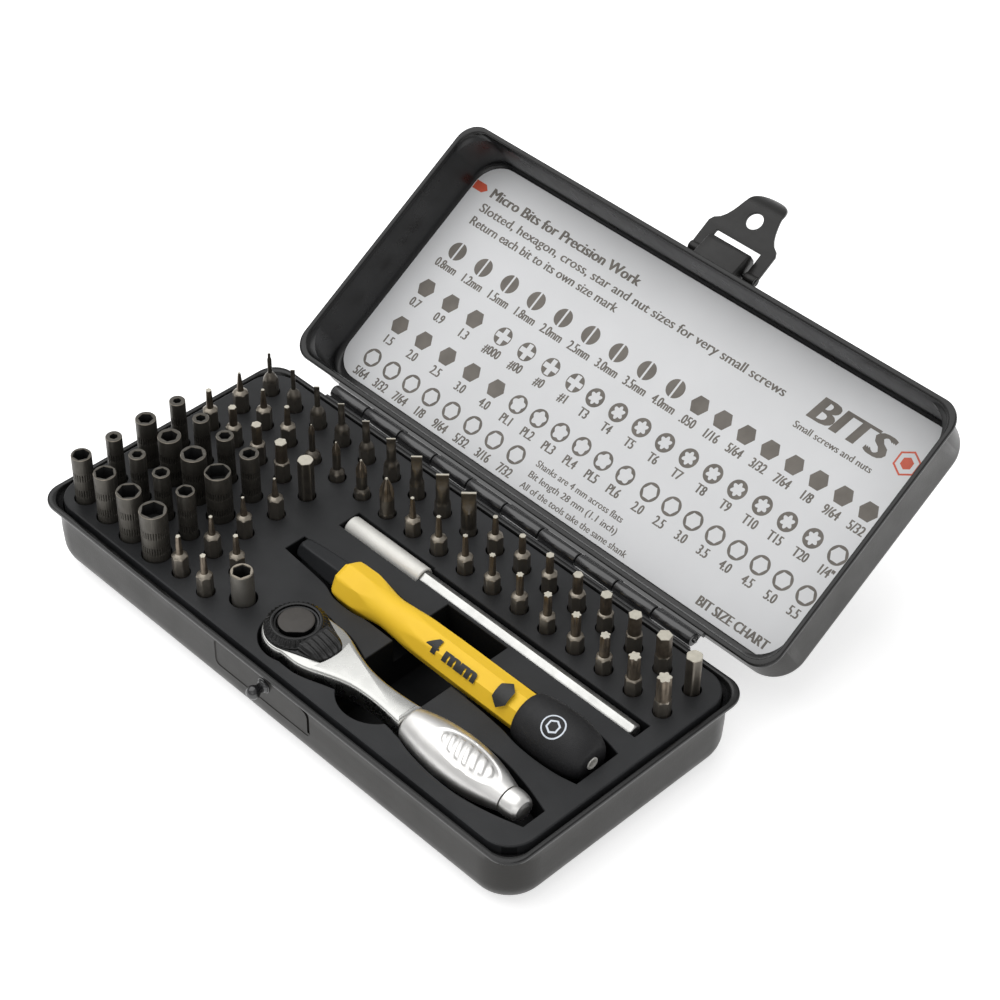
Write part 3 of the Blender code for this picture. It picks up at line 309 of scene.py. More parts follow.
def smooth(table, x):
    """Value at x on a smooth curve through (x, value) pairs."""
    if x <= table[0][0]:
        return table[0][1]
    if x >= table[-1][0]:
        return table[-1][1]
    i = max(k for k in range(len(table) - 1) if table[k][0] <= x)
    x0, y0 = table[i]
    x1, y1 = table[i + 1]
    before = table[i - 1] if i else table[i]
    after = table[i + 2] if i + 2 < len(table) else table[i + 1]
    width = x1 - x0
    m0 = (y1 - before[1]) / (x1 - before[0]) * width
    m1 = (after[1] - y0) / (after[0] - x0) * width
    t = (x - x0) / width
    h = t * t * (3 - 2 * t)
    return y0 + (y1 - y0) * h + m0 * t * (1 - t) ** 2 - m1 * t * t * (1 - t)


def step_up(x, start, end):
    t = min(1.0, max(0.0, (x - start) / (end - start)))
    return t * t * (3 - 2 * t)


class Solid:
    """Points and faces of one piece, in millimetres; each face has the index of its material."""

    def __init__(self):
        self.points = []
        self.faces = []
        self.marks = []

    def loft(self, loops, marks=None, ring=False):
        start = len(self.points)
        count = len(loops[0])
        for loop in loops:
            self.points.extend(loop)
        bands = len(loops) if ring else len(loops) - 1
        for i in range(bands):
            a = start + i * count
            b = start + (i + 1) % len(loops) * count
            for k in range(count):
                n = (k + 1) % count
                self.faces.append((a + k, a + n, b + n, b + k))
                self.marks.append(marks[i] if marks else 0)
        if not ring:
            self.faces.append(tuple(start + k for k in range(count))[::-1])
            self.faces.append(tuple(start + (len(loops) - 1) * count + k for k in range(count)))
            self.marks.extend([marks[0], marks[-1]] if marks else [0, 0])
        return self


def inset(outline, amount):
    """The outline moved inwards by amount, each point along the mean of its two edges' normals."""
    made = []
    count = len(outline)
    area = sum(outline[k][0] * outline[(k + 1) % count][1] - outline[(k + 1) % count][0] * outline[k][1]
        for k in range(count))
    sign = 1 if area > 0 else -1
    for k in range(count):
        before, here, after = (Vector(outline[(k + d) % count]) for d in (-1, 0, 1))
        u = (here - before).normalized()
        v = (after - here).normalized()
        normal = Vector((-u.y - v.y, u.x + v.x)) * sign
        if normal.length < 1e-6:
            made.append(tuple(here))
            continue
        normal.normalize()
        scale = min(2.0, 1.0 / max(0.5, normal.dot(Vector((-u.y, u.x)) * sign)))
        made.append(tuple(here + normal * amount * scale))
    return made


def along_x(stations, cy, cz):
    return [[(x, cy + u, cz + v) for u, v in outline] for x, outline in stations]


def along_y(stations, cx, cz):
    return [[(cx + u, y, cz + v) for u, v in outline] for y, outline in stations]


def along_z(stations, cx, cy):
    return [level(outline, z, cx, cy) for z, outline in stations]


def link(name, data):
    made = bpy.data.objects.new(name, data)
    bpy.context.scene.collection.objects.link(made)
    return made


HINGE = Vector((0.0, HINGE_Y, HINGE_Z))
SWING = Matrix.Rotation(radians(-LID_OPENING), 3, "X")


def swung(point):
    """A point of the shut lid, carried to the open lid."""
    return HINGE + SWING @ (Vector(point) - HINGE)


def mesh_of(name, solid, opened=False):
    points = [swung(p) for p in solid.points] if opened else solid.points
    mesh = bpy.data.meshes.new(name)
    mesh.from_pydata([tuple(c * MM for c in p) for p in points], [], solid.faces)
    work = bmesh.new()
    work.from_mesh(mesh)
    bmesh.ops.recalc_face_normals(work, faces=work.faces[:])
    work.to_mesh(mesh)
    work.free()
    return mesh


def make(name, solid, mats, body, slot, stands_for=(), sharp=35.0, opened=False):
    """Write a Solid as a mesh piece that rides on a body; the slot argument is not used."""
    mesh = mesh_of(name, solid, opened)
    for mat in mats:
        mesh.materials.append(mat)
    mesh.polygons.foreach_set("material_index", solid.marks)
    return place(name, mesh, body, slot, stands_for, sharp)


def place(name, mesh, body, slot, stands_for=(), sharp=35.0):
    mesh.shade_smooth()
    mesh.set_sharp_from_angle(angle=radians(sharp))
    made = link(name, mesh)
    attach(made, body)
    if stands_for:
        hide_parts(*stands_for)
    return made


def cut(target, solid):
    """Take a Solid out of an object's mesh with an exact Boolean."""
    tool = link("cutter", mesh_of("cutter", solid))
    mod = target.modifiers.new("cut", "BOOLEAN")
    mod.solver = "EXACT"
    mod.operation = "DIFFERENCE"
    mod.object = tool
    graph = bpy.context.evaluated_depsgraph_get()
    result = bpy.data.meshes.new_from_object(target.evaluated_get(graph))
    target.modifiers.remove(mod)
    target.data = result
    bpy.data.objects.remove(tool, do_unlink=True)
    result.shade_smooth()
    result.set_sharp_from_angle(angle=radians(30))
    return target


# ------------------ case


def case_loop(depth, radius, z):
    return level(rounded_rect(HALF_LENGTH - depth, HALF_WIDTH - depth, max(radius, 0.5), 14), z)


def fillet(depth, z_flat, radius, corner, up, steps):
    loops = []
    for k in range(steps + 1):
        a = radians(90.0 * k / steps)
        inward = depth + radius * (1.0 - sin(a))
        loops.append(case_loop(inward, corner - (inward - depth), z_flat + up * radius * (1.0 - cos(a))))
    return loops


def rim_loops(rim, side):
    """The rolled rim from the outer wall, over the edge and down inside; side is +1 on the lid."""
    profile = [(WALL_INSET, WALL_CORNER, 1.75), (WALL_INSET - 0.05, WALL_CORNER - 0.6, 1.5),
        (0.42, RIM_CORNER + 1.2, 1.38), (0.1, RIM_CORNER + 0.2, 1.2), (0.0, RIM_CORNER, 0.9),
        (0.0, RIM_CORNER, 0.5), (0.08, RIM_CORNER, 0.22), (0.3, RIM_CORNER, 0.05), (0.55, RIM_CORNER, 0.0),
        (1.0, RIM_CORNER, 0.0), (1.3, RIM_CORNER, 0.06), (1.5, RIM_CORNER + 0.1, 0.25),
        (1.6, RIM_CORNER + 0.3, 0.55), (1.72, RIM_CORNER + 1.2, 1.3), (2.0, WALL_CORNER - 1.4, 1.9)]
    return [case_loop(depth, corner, rim + side * z) for depth, corner, z in profile]


def build_base():
    rim = RIM_Z - PART_LINE
    outer = fillet(WALL_INSET + 0.3, 0.0, BASE_FILLET, WALL_CORNER, 1, 10)
    outer += [case_loop(WALL_INSET + 0.15, WALL_CORNER, z) for z in (12.0, 16.0)]
    rolled = rim_loops(rim, -1)
    inner = fillet(WALL_INSET + SHEET + 0.3, SHEET, BASE_FILLET - SHEET, WALL_CORNER - SHEET, 1, 5)
    loops = outer + rolled + inner[::-1]
    marks = [0] * (len(outer) + 2) + [1] * (len(rolled) - 4) + [2] * (len(inner) + 1)
    shell = make("case_base", Solid().loft(loops, marks=marks), [PAINT, RIM_PAINT, PAINT_INSIDE], "case",
        "case_black", ["base_shell"])
    panel = rounded_rect(18.3, 4.55, 1.6, 6)
    deep = [(WALL_Y - 3, panel), (WALL_Y + 0.12, panel), (WALL_Y + 0.4, inset(panel, 0.3))]
    edge = [(-17.6, 4.5), (15.2, 4.5)] + arc(15.2, 1.4, 3.1, 85, 0, 8) + [(18.3, -3.3), (17.1, -3.3)]
    edge += arc(15.2, 1.4, 1.9, 0, 80, 8) + [(13.5, 3.85), (-17.6, 3.95)]
    groove = [(WALL_Y - 3, edge), (WALL_Y + 0.95, edge)]
    for stations in (deep, groove):
        cut(shell, Solid().loft(along_y(stations, PANEL_X, PANEL_Z)))


def build_lid():
    rim = RIM_Z + PART_LINE
    outer = fillet(WALL_INSET, LID_TOP_Z, LID_FILLET, WALL_CORNER - 1.5, -1, 9)
    rolled = rim_loops(rim, 1)
    inner = fillet(WALL_INSET + SHEET, LID_TOP_Z - 1.0, 1.8, WALL_CORNER - 2.5, -1, 6)
    loops = outer + rolled + inner[::-1]
    marks = [0] * (len(outer) + 1) + [1] * (len(rolled) - 3) + [2] * (len(inner) + 1)
    solid = Solid().loft(loops, marks=marks)
    make("case_lid", solid, [PAINT, RIM_PAINT, PAINT_INSIDE], "lid", "case_black", ["lid_shell"], opened=True)


def barrel(x0, x1, radius, edge=0.22, count=28):
    """Round pin or knuckle along X with eased ends."""
    ease = radius - edge * 0.35
    return rounds(count, (x0, radius - edge), (x0 + edge * 0.4, ease), (x0 + edge, radius),
        (x1 - edge, radius), (x1 - edge * 0.4, ease), (x1, radius - edge))


def build_hinge():
    pitch = 2 * HINGE_HALF / KNUCKLES
    for first, body, side, opened in ((0, "case", -1, False), (1, "lid", 1, True)):
        solid = Solid()
        for k in range(first, KNUCKLES, 2):
            x0 = -HINGE_HALF + pitch * k + 0.17
            x1 = x0 + pitch - 0.34
            solid.loft(along_x(barrel(x0, x1, HINGE_RADIUS), HINGE_Y, HINGE_Z))
            z0, z1 = sorted((HINGE_Z + side * 1.75, HINGE_Z + side * 0.75))
            leaf = [(41.6, z0), (HINGE_Y - 0.3, z0), (HINGE_Y - 0.3, z1), (41.6, z1)]
            solid.loft([[(x, y, z) for y, z in leaf] for x in (x0, x1)])
        z0, z1 = sorted((HINGE_Z + side * 2.1, HINGE_Z + side * 0.35))
        strip = [(40.9, z0), (42.75, z0), (42.95, (z0 + z1) / 2), (42.75, z1), (40.9, z1)]
        solid.loft([[(x, y, z) for y, z in strip] for x in (-HINGE_HALF - 0.6, HINGE_HALF + 0.6)])
        make("hinge_knuckles_" + body, solid, [GLOSS_BLACK], body, "hardware_black", opened=opened)
    pin = Solid().loft(along_x(barrel(-HINGE_HALF - 0.6, HINGE_HALF + 0.6, 0.66, 0.15, 16), HINGE_Y, HINGE_Z))
    make("hinge_rod", pin, [GLOSS_BLACK], "case", "hardware_black", ["hinge_pin"])


def build_latch():
    """Pivot block, pin, hasp and the ball stud that it closes on."""
    block = Solid()
    profile = [(WALL_Y + 0.4, 25.4), (LATCH_Y - 3.2, 26.6), (LATCH_Y - 4.3, 26.9), (LATCH_Y - 4.9, 27.5),
        (LATCH_Y - 5.1, 28.3), (LATCH_Y - 5.1, 30.6), (LATCH_Y - 4.6, 31.4), (LATCH_Y - 3.4, 32.0),
        (LATCH_Y - 0.6, 33.0), (WALL_Y + 0.4, 34.6)]
    xs = [(-7.3, 0.45), (-7.15, 0.16), (-6.9, 0.0), (6.9, 0.0), (7.15, 0.16), (7.3, 0.45)]
    block.loft([[(LATCH_X + x, y, z) for y, z in inset(profile, s)] for x, s in xs])
    make("latch_block", block, [HASP_PAINT], "lid", "case_black", opened=True)
    pin = Solid().loft(along_x(barrel(LATCH_X - 11.7, LATCH_X + 11.7, 0.62, 0.15, 16), LATCH_Y, LATCH_Z))
    make("latch_rod", pin, [GLOSS_BLACK], "lid", "hardware_black", ["latch_pin"], opened=True)
    build_latch_plate()
    stem = ((1.3, 2.2), (0.2, 2.2), (0.1, 1.95), (-0.2, 1.9), (-0.45, 1.7), (-0.75, 1.35), (-1.2, 1.25))
    stations = [(WALL_Y + y, circle(r, 24)) for y, r in stem]
    for k in range(12):
        a = radians(138 - 132 * k / 11)
        stations.append((LATCH_Y + 0.9 - 1.9 * cos(a), circle(1.9 * sin(a), 24)))
    make("latch_ball_stud", Solid().loft(along_y(stations, LATCH_X, STUD_Z)), [GLOSS_BLACK], "case",
        "hardware_black", ["latch_stud"])


def arc(cx, cy, radius, start, end, steps):
    return [(cx + radius * cos(radians(start + (end - start) * k / steps)),
        cy + radius * sin(radians(start + (end - start) * k / steps))) for k in range(steps + 1)]


def build_latch_plate():
    """Sheet hasp: two legs curled round the pin, a shoulder, a holed tongue and a lifted tip."""
    sweep = [(11.9, 8.6), (11.2, 9.9), (9.6, 10.9), (8.4, 12.4), (7.5, 14.2), (6.8, 16.2), (6.3, 18.0)]
    outline = [(-11.9, -1.0), (-8.2, -1.0)] + arc(-7.6, 6.9, 0.6, 180, 90, 4) + arc(7.6, 6.9, 0.6, 90, 0, 4)
    outline += [(8.2, -1.0), (11.9, -1.0)] + sweep
    outline += arc(0.0, 18.8, 6.1, 0, 180, 24)
    outline += [(-x, reach) for x, reach in reversed(sweep)]
    mesh = shapes_mesh([outline, moved(circle(2.75, 32), 0.0, HASP_HOLE_REACH)], 0.32, 0.18)
    work = bmesh.new()
    work.from_mesh(mesh)
    bmesh.ops.remove_doubles(work, verts=work.verts[:], dist=0.01)
    for reach in (HASP_BEND_START, 18.0, 18.8, 19.6, 20.4, 21.2, 22.0, 22.8, 23.6, 24.2):
        everything = work.verts[:] + work.edges[:] + work.faces[:]
        bmesh.ops.bisect_plane(work, geom=everything, plane_co=(0, reach, 0), plane_no=(0, 1, 0))
    for vert in work.verts:
        x, reach, z = vert.co
        curl = max(0.0, reach - HASP_BEND_START)
        bend = HASP_BEND * curl * curl
        vert.co = swung((LATCH_X + x, LATCH_Y - reach + 0.3 * bend, LATCH_Z + z + bend)) * MM
    bmesh.ops.recalc_face_normals(work, faces=work.faces[:])
    work.to_mesh(mesh)
    work.free()
    mesh.materials.clear()
    mesh.materials.append(HASP_PAINT)
    place("latch_hasp", mesh, "latch", "latch_black", ["latch_plate"], 30)
    curls = Solid()
    for side in (-1, 1):
        x0, x1 = sorted((LATCH_X + side * 8.2, LATCH_X + side * 11.9))
        rings = rounds(24, (x0, 0.95), (x0, 1.4), (x0 + 0.12, 1.5), (x1 - 0.12, 1.5), (x1, 1.4), (x1, 0.95))
        curls.loft(along_x(rings, LATCH_Y, LATCH_Z), ring=True)
    make("latch_curls", curls, [HASP_PAINT], "latch", "latch_black", opened=True)


# ------------------ card and its print


def build_card():
    half = (CARD_FAR - CARD_NEAR) / 2
    outline = moved(rounded_rect(CARD_HALF, half, CARD_CORNER, 12), 0.0, (CARD_NEAR + CARD_FAR) / 2)
    slab = Solid().loft([level(outline, CARD_Z + 0.32), level(outline, CARD_Z + 0.08),
        level(inset(outline, 0.08), CARD_Z)])
    make("lid_card", slab, [CARD], "lid", "label_silver", ["lid_label"], opened=True)


def filled(curve, name):
    """The mesh of a filled flat curve; no object of the curve is left in the scene."""
    holder = link(name, curve)
    graph = bpy.context.evaluated_depsgraph_get()
    mesh = bpy.data.meshes.new_from_object(holder.evaluated_get(graph))
    bpy.data.objects.remove(holder, do_unlink=True)
    return mesh


def lettering(text, height, x=0.0, y=0.0, narrow=0.78, bold=0.0, align="CENTER", slant=0.0, width=None):
    """Solid letters with capitals `height` mm tall in the plane of the print; `width` fixes their length."""
    curve = bpy.data.curves.new("letters", "FONT")
    curve.body = text
    curve.size = height / 0.70
    curve.align_x = align
    curve.align_y = "CENTER"
    curve.shear = slant
    curve.resolution_u = 3
    curve.extrude = PRINT_THICK
    mesh = filled(curve, "letters")
    if width:
        run = [vert.co.x for vert in mesh.vertices]
        narrow = width / (max(run) - min(run))
    for vert in mesh.vertices:
        vert.co.x = vert.co.x * narrow + x
        vert.co.y += y
    return bolder(mesh, bold) if bold else mesh


def bolder(mesh, amount):
    """Thicken letters by laying three copies side by side, each a hair proud of the last."""
    work = bmesh.new()
    for k in range(3):
        start = len(work.verts)
        work.from_mesh(mesh)
        work.verts.ensure_lookup_table()
        for vert in work.verts[start:]:
            vert.co.x += amount * (k - 1) / 2
            vert.co.z += 0.002 * k
    work.to_mesh(mesh)
    work.free()
    return mesh


def shapes_mesh(loops, thick=PRINT_THICK, bevel=0.0):
    """Solid flat shapes from closed outlines; an outline inside another makes a hole."""
    curve = bpy.data.curves.new("shapes", "CURVE")
    curve.dimensions = "2D"
    curve.fill_mode = "BOTH"
    curve.extrude = thick
    curve.bevel_depth = bevel
    curve.bevel_resolution = 2
    for loop in loops:
        spline = curve.splines.new("POLY")
        spline.points.add(len(loop) - 1)
        for target, (x, y) in zip(spline.points, loop):
            target.co = (x, y, 0, 1)
        spline.use_cyclic_u = True
    return filled(curve, "shapes")


def print_piece(name, meshes, mat, body, slot, carry):
    """Join flat meshes, carry every point to the surface it is printed on, and keep one piece."""
    work = bmesh.new()
    for mesh in meshes:
        work.from_mesh(mesh)
    bmesh.ops.remove_doubles(work, verts=work.verts[:], dist=0.0005)
    for vert in work.verts:
        vert.co = Vector(carry(*vert.co)) * MM
    bmesh.ops.recalc_face_normals(work, faces=work.faces[:])
    mesh = bpy.data.meshes.new(name)
    work.to_mesh(mesh)
    work.free()
    mesh.materials.clear()
    mesh.materials.append(mat)
    mesh.polygons.foreach_set("material_index", [0] * len(mesh.polygons))
    return place(name, mesh, body, slot, sharp=20)


def on_card(x, v, w):
    return swung((x, HINGE_Y - v, CARD_Z - 0.004 - w))


def slot_icon(x, y):
    left = [(u, v) for u, v in circle(ICON, 60) if u < -0.32]
    left = [(-0.32, sqrt(ICON ** 2 - 0.1))] + left + [(-0.32, -sqrt(ICON ** 2 - 0.1))]
    return [moved(left, x, y), moved([(-u, v) for u, v in left], x, y)]


def cross_icon(x, y):
    half = 0.78
    reach = sqrt(2.65 ** 2 - half ** 2)
    arms = []
    for k in range(4):
        a = radians(90 * k)
        for u, v in ((half, half), (reach, half), (reach, -half)):
            arms.append((u * cos(a) + v * sin(a), v * cos(a) - u * sin(a)))
    return [moved(circle(ICON, 40), x, y), moved(arms, x, y)]


def star_icon(lobes, outer, inner, x, y):
    """Dark disc with a rounded star in it."""
    start = pi / 2
    star = polar(lambda a: inner + (outer - inner) * (0.5 + 0.5 * cos(lobes * a)) ** 0.75, 72, start)
    return [moved(circle(ICON, 40), x, y), moved(star, x, y)]


def hex_icon(x, y):
    return [moved(circle(ICON + 0.1, 6), x, y)]


def ring_icon(x, y):
    return [moved(circle(ICON, 40), x, y), moved(circle(2.3, 6), x, y)]


SLOT_SIZES = ["0.8mm", "1.2mm", "1.5mm", "1.8mm", "2.0mm", "2.5mm", "3.0mm", "3.5mm", "4.0mm"]
INCH_SIZES = [".050", "1/16", "5/64", "3/32", "7/64", "1/8", "9/64", "5/32"]
STAR_SIZES = ["T3", "T4", "T5", "T6", "T7", "T8", "T9", "T10", "T15", "T20"]
NUT_SIZES = ["2.0", "2.5", "3.0", "3.5", "4.0", "4.5", "5.0", "5.5"]
PRINT_ROWS = [
    (slot_icon, -76.6, 10.75, 55.2, SLOT_SIZES),
    (hex_icon, 18.6, 8.44, 54.8, INCH_SIZES),
    (hex_icon, -77.3, 10.05, 41.3, ["0.7", "0.9", "1.3"]),
    (cross_icon, -45.8, 9.5, 41.5, ["#000", "#00", "#0", "#1"]),
    (lambda x, y: star_icon(6, 2.1, 1.35, x, y), -9.15, 8.75, 41.1, STAR_SIZES),
    (ring_icon, 78.2, 9, 40.9, ['1/4"']),
    (hex_icon, -76.6, 9.93, 28.0, ["1.5", "2.0", "2.5", "3.0", "4.0"]),
    (lambda x, y: star_icon(5, 2.35, 1.75, x, y), -27.8, 8.26, 27.7, ["PL%d" % n for n in range(1, 7)]),
    (ring_icon, 22.7, 7.89, 27.6, NUT_SIZES),
    (ring_icon, -77.2, 8.2, 15.7, ["5/64", "3/32", "7/64", "1/8"]),
    (ring_icon, -44.2, 8.67, 15.7, ["9/64", "5/32", "3/16", "7/32"]),
]


def build_print():
    icons, words = [], []
    for icon, x0, pitch, v, sizes in PRINT_ROWS:
        for k, size in enumerate(sizes):
            x = x0 + pitch * k
            icons.extend(icon(x, v))
            words.append(lettering(size, 2.8, x, v - 5.5, 0.74, 0.26))
    tag = [(0.3 - CARD_HALF, 73.7), (-83.1, 73.7), (-81.6, 75.1), (-83.1, 76.5), (0.3 - CARD_HALF, 76.5)]
    badge = [moved(circle(r, 6, pi / 6), 78.1, 70.9) for r in (3.9, 3.3, 1.9)]
    for name, meshes, ink in (("icons", [shapes_mesh(icons)], INK), ("sizes", words, INK),
            ("words", card_lines(), INK), ("red_marks", [shapes_mesh([tag] + badge)], RED_INK)):
        print_piece("card_" + name, meshes, ink, "lid", "label_silver", on_card)


def card_lines():
    """Plain generic wording where the card carries its title, notes and mark."""
    lines = [
        ("Micro Bits for Precision Work", 3.2, -80.0, 75.2, 59.0, 0.42, 0.0),
        ("Slotted, hexagon, cross, star and nut sizes for very small screws", 2.8, -80.0, 70, 117, 0.22, 0),
        ("Return each bit to its own size mark", 2.8, -80.0, 65.3, 58.4, 0.22, 0.0),
        ("Shanks are 4 mm across flats", 2.0, -11.2, 17.1, 32.4, 0.12, 0.0),
        ("Bit length 28 mm (1.1 inch)", 2.0, -11.2, 13.5, 33.0, 0.12, 0.0),
        ("All of the tools take the same shank", 2.0, -11.2, 9.8, 39.9, 0.12, 0.0),
        ("BITS", 7.3, 45.6, 70.9, 25.4, 1.3, 0.18),
        ("Small screws and nuts", 2.0, 44.7, 64.3, 26.4, 0.15, 0.0),
        ("BIT SIZE CHART", 2.8, 53.6, 10.9, 24.0, 0.36, 0.0),
    ]
    made = []
    for text, height, x, v, width, bold, slant in lines:
        made.append(lettering(text, height, x, v, 1.0, bold, "LEFT", slant, width))
    return made


# ------------------ tray


def column_x(column):
    return FIRST_COLUMN + COLUMN_PITCH * column


def row_y(row):
    return FIRST_ROW - ROW_PITCH * row


def bit_turn(column, row):
    return radians((column * 23 + row * 41) % 60)


# Name, nut size across flats and outer diameter
NUTS = [
    ("nut_5_64in", 1.98, 4.4), ("nut_3_32in", 2.38, 4.5), ("nut_7_64in", 2.78, 4.8),
    ("nut_1_8in", 3.18, 5.2), ("nut_9_64in", 3.57, 5.7), ("nut_5_32in", 3.97, 6.35),
    ("nut_3_16in", 4.76, 6.9), ("nut_7_32in", 5.56, 7.1),
    ("nut_2_0mm", 2.0, 4.5), ("nut_2_5mm", 2.5, 4.6), ("nut_3_0mm", 3.0, 4.7), ("nut_3_5mm", 3.5, 5.0),
    ("nut_4_0mm", 4.0, 5.55), ("nut_4_5mm", 4.5, 6.1), ("nut_5_0mm", 5.0, 6.75), ("nut_5_5mm", 5.5, 7.4),
]
BIT_PLACES = [(k, 0) for k in range(17)] + [(k, 1) for k in range(17)] + [(k, 2) for k in range(5)]
BIT_PLACES += [(4, 3), (4, 4), (4, 5), (4, 6), (5, 5), (5, 6)]
ADAPTER_LOW, ADAPTER_HIGH = span("drive_adapter")
ADAPTER = tuple((ADAPTER_LOW + ADAPTER_HIGH) / 2)[:2]


def band(stations, cy, step=1.6):
    """Outline either side of a line along X from (x, half width) stations."""
    xs = [stations[0][0]]
    while xs[-1] < stations[-1][0] - step:
        xs.append(xs[-1] + step)
    xs.append(stations[-1][0])
    upper = [(x, cy + smooth(stations, x)) for x in xs]
    lower = [(x, cy - smooth(stations, x)) for x in reversed(xs)]
    return upper + lower


def head_outline(grow=0.0):
    """Teardrop seen from above: round head whose shoulders sweep in to a narrow arm."""
    table = [(1.47, 8.34), (4.5, 8.36), (7.5, 8.25), (11.5, 7.2), (16.5, 5.4), (22.0, 3.9), (28.0, 3.3),
        (34.0, 3.45), (40.3, 4.0)]
    upper = [(40.3 - 1.3 * k, RATCHET_Y + smooth(table, 40.3 - 1.3 * k) + grow) for k in range(30)]
    lower = [(x, 2 * RATCHET_Y - y) for x, y in reversed(upper)]
    return upper + arc(RATCHET_X, RATCHET_Y, HEAD_RADIUS + grow, 68, 292, 40) + lower


def hollow(solid, outline, bottom, edge=0.2):
    """A pocket cutter with an eased edge at the deck."""
    wide = inset(outline, -edge)
    return solid.loft([level(outline, bottom), level(outline, TRAY_TOP - edge), level(wide, TRAY_TOP + 0.02),
        level(wide, TRAY_TOP + 3.0)])


DRIVER_POCKET = [(-28.3, 3.3), (-11.8, 4.7), (-8.6, 5.5), (-6.2, 6.5), (0.8, 6.8), (6.3, 6.0), (20.0, 6.1),
    (46.0, 6.6), (57.0, 7.4), (63.0, 8.4), (70.0, 8.7), (77.0, 8.2), (82.2, 7.1)]
GRIP_POCKET = [(39.5, 5.2), (41.9, 5.5), (46.5, 6.7), (52.5, 7.6), (58.5, 8.0), (64.5, 7.9), (70.5, 7.0),
    (76.5, 5.6), (83.0, 3.6)]


def build_tray():
    profile = ((9.2, 3.0, 1.5), (4.3, 6.5, 4.0), (2.65, 8.4, 8.4), (2.6, 8.4, TRAY_TOP - 0.5),
        (2.7, 8.3, TRAY_TOP - 0.2), (3.0, 8.0, TRAY_TOP))
    body = Solid().loft([case_loop(*row) for row in profile])
    tray = make("tray_moulding", body, [TRAY], "case", "tray_black", ["tray_insert"])
    holes = Solid()
    for column, row in BIT_PLACES:
        hollow(holes, moved(circle(HOLE_RADIUS, 28), column_x(column), row_y(row)), HOLE_BOTTOM, HOLE_EDGE)
    for index, (_, _, outer) in enumerate(NUTS):
        column, row = index % 4, 3 + index // 4
        wide = max(HOLE_RADIUS, outer / 2 + 0.35)
        hollow(holes, moved(circle(wide, 32), column_x(column), row_y(row)), HOLE_BOTTOM, HOLE_EDGE)
    hollow(holes, moved(circle(3.7, 32), *ADAPTER), HOLE_BOTTOM, HOLE_EDGE)
    cut(tray, holes)
    channel = [(38.0, 8.5), (16.3, 8.5)] + arc(27.15, -25.4, 10.85, 180, 360, 26)
    pockets = ((band([(-25.3, 3.55), (4.2, 3.55)], EXT_Y - 0.35, 60), EXT_Z - 3.6),
        (band([(3.0, 2.72), (81.3, 2.72)], EXT_Y, 90), EXT_Z - 3.38),
        (band(DRIVER_POCKET, DRIVER_Y - 0.1), DRIVER_Z - 8.2), (moved(head_outline(1.1), 0.15, 0.0), 13.4),
        (band(GRIP_POCKET, RATCHET_Y), 13.38), (channel, 6.0))
    for outline, bottom in pockets:
        cut(tray, hollow(Solid(), outline, bottom))
    # Faces deep inside the pockets take the darker copy: painted shade.
    tray.data.materials.append(TRAY_PAINTED_SHADE)
    for face in tray.data.polygons:
        x, y, z = face.center / MM
        inside = abs(x) < HALF_LENGTH - 4.0 and abs(y) < HALF_WIDTH - 4.0
        if inside and z < TRAY_TOP - 1.0 and face.normal.z > -0.5:
            face.material_index = 1


# ------------------ bits


def hex_shaft(angle, turn):
    return min(side_reach(angle - turn, SHAFT_FLATS), 2.24)


def bit_loops(x, y, turn, levels):
    """Sections at rising z; each level is (z, reach function of the angle[, blade half thickness])."""
    loops = []
    for z, reach, *blade in levels:
        points = []
        for k in range(ROUND):
            a = 2 * pi * k / ROUND + turn
            r = reach(a)
            u, v = r * cos(a), r * sin(a)
            if blade:
                along = (u + v) * sqrt(0.5)
                across = max(-blade[0], min(blade[0], (v - u) * sqrt(0.5)))
                u, v = (along - across) * sqrt(0.5), (along + across) * sqrt(0.5)
            points.append((u, v))
        loops.append(level(points, z, x, y))
    return loops


def shaft_levels(turn, shoulder, cone):
    """Hexagonal shaft, then a cone turned on it: the cone's table gives (rise above the shoulder, radius)."""
    table = [(BIT_BOTTOM, 1.9), (BIT_BOTTOM + 0.35, 2.24), (shoulder, 2.24)]
    table += [(shoulder + rise, radius) for rise, radius in cone]
    return [(z, lambda a, cap=cap: min(hex_shaft(a, turn), cap)) for z, cap in table]


def finish_bit(name, column, row, levels, marks, body, node):
    solid = Solid().loft(bit_loops(column_x(column), row_y(row), bit_turn(column, row), levels), marks=marks)
    # Mark 1 is the painted highlight on the cones, mark 3 the painted highlight on the flat ends.
    mats = [BIT_STEEL, BIT_PAINTED_HIGHLIGHT, BIT_NECK, BIT_END_PAINTED_HIGHLIGHT]
    make("bit_" + name, solid, mats, body, "bit_steel", [node], sharp=28)


def tip_bit(name, column, row, shoulder, top, radius, reach, body, node):
    """Star and hexagon bits: a cone painted lighter as a painted highlight, a neck that tapers into the
    driving shape, and a flat end painted lighter still as a painted highlight.
    """
    turn = bit_turn(column, row)
    root = max(radius * 1.12, 1.0)
    cone = [(rise, r) for rise, r in ((0.0, 2.3), (0.12, 2.2), (0.35, 2.02), (0.6, 1.8)) if r > root + 0.12]
    levels = shaft_levels(turn, DECK_Z + shoulder, cone)
    # The cone takes the painted highlight.
    marks = [0, 0] + [1] * (len(levels) - 2)
    start = DECK_Z + shoulder + (2.31 - root) * 0.62 + 0.25
    end = DECK_Z + top - 0.14
    for t in (0.0, 0.08, 0.3, 0.6, 1.0):
        levels.append((start + (end - start) * t, lambda a, t=t: root * (1 - t) + reach(a) * t))
        marks.append(2)
    levels.append((DECK_Z + top, lambda a: reach(a) * 0.94))
    marks[-1] = 3
    finish_bit(name, column, row, levels, marks, body, node)


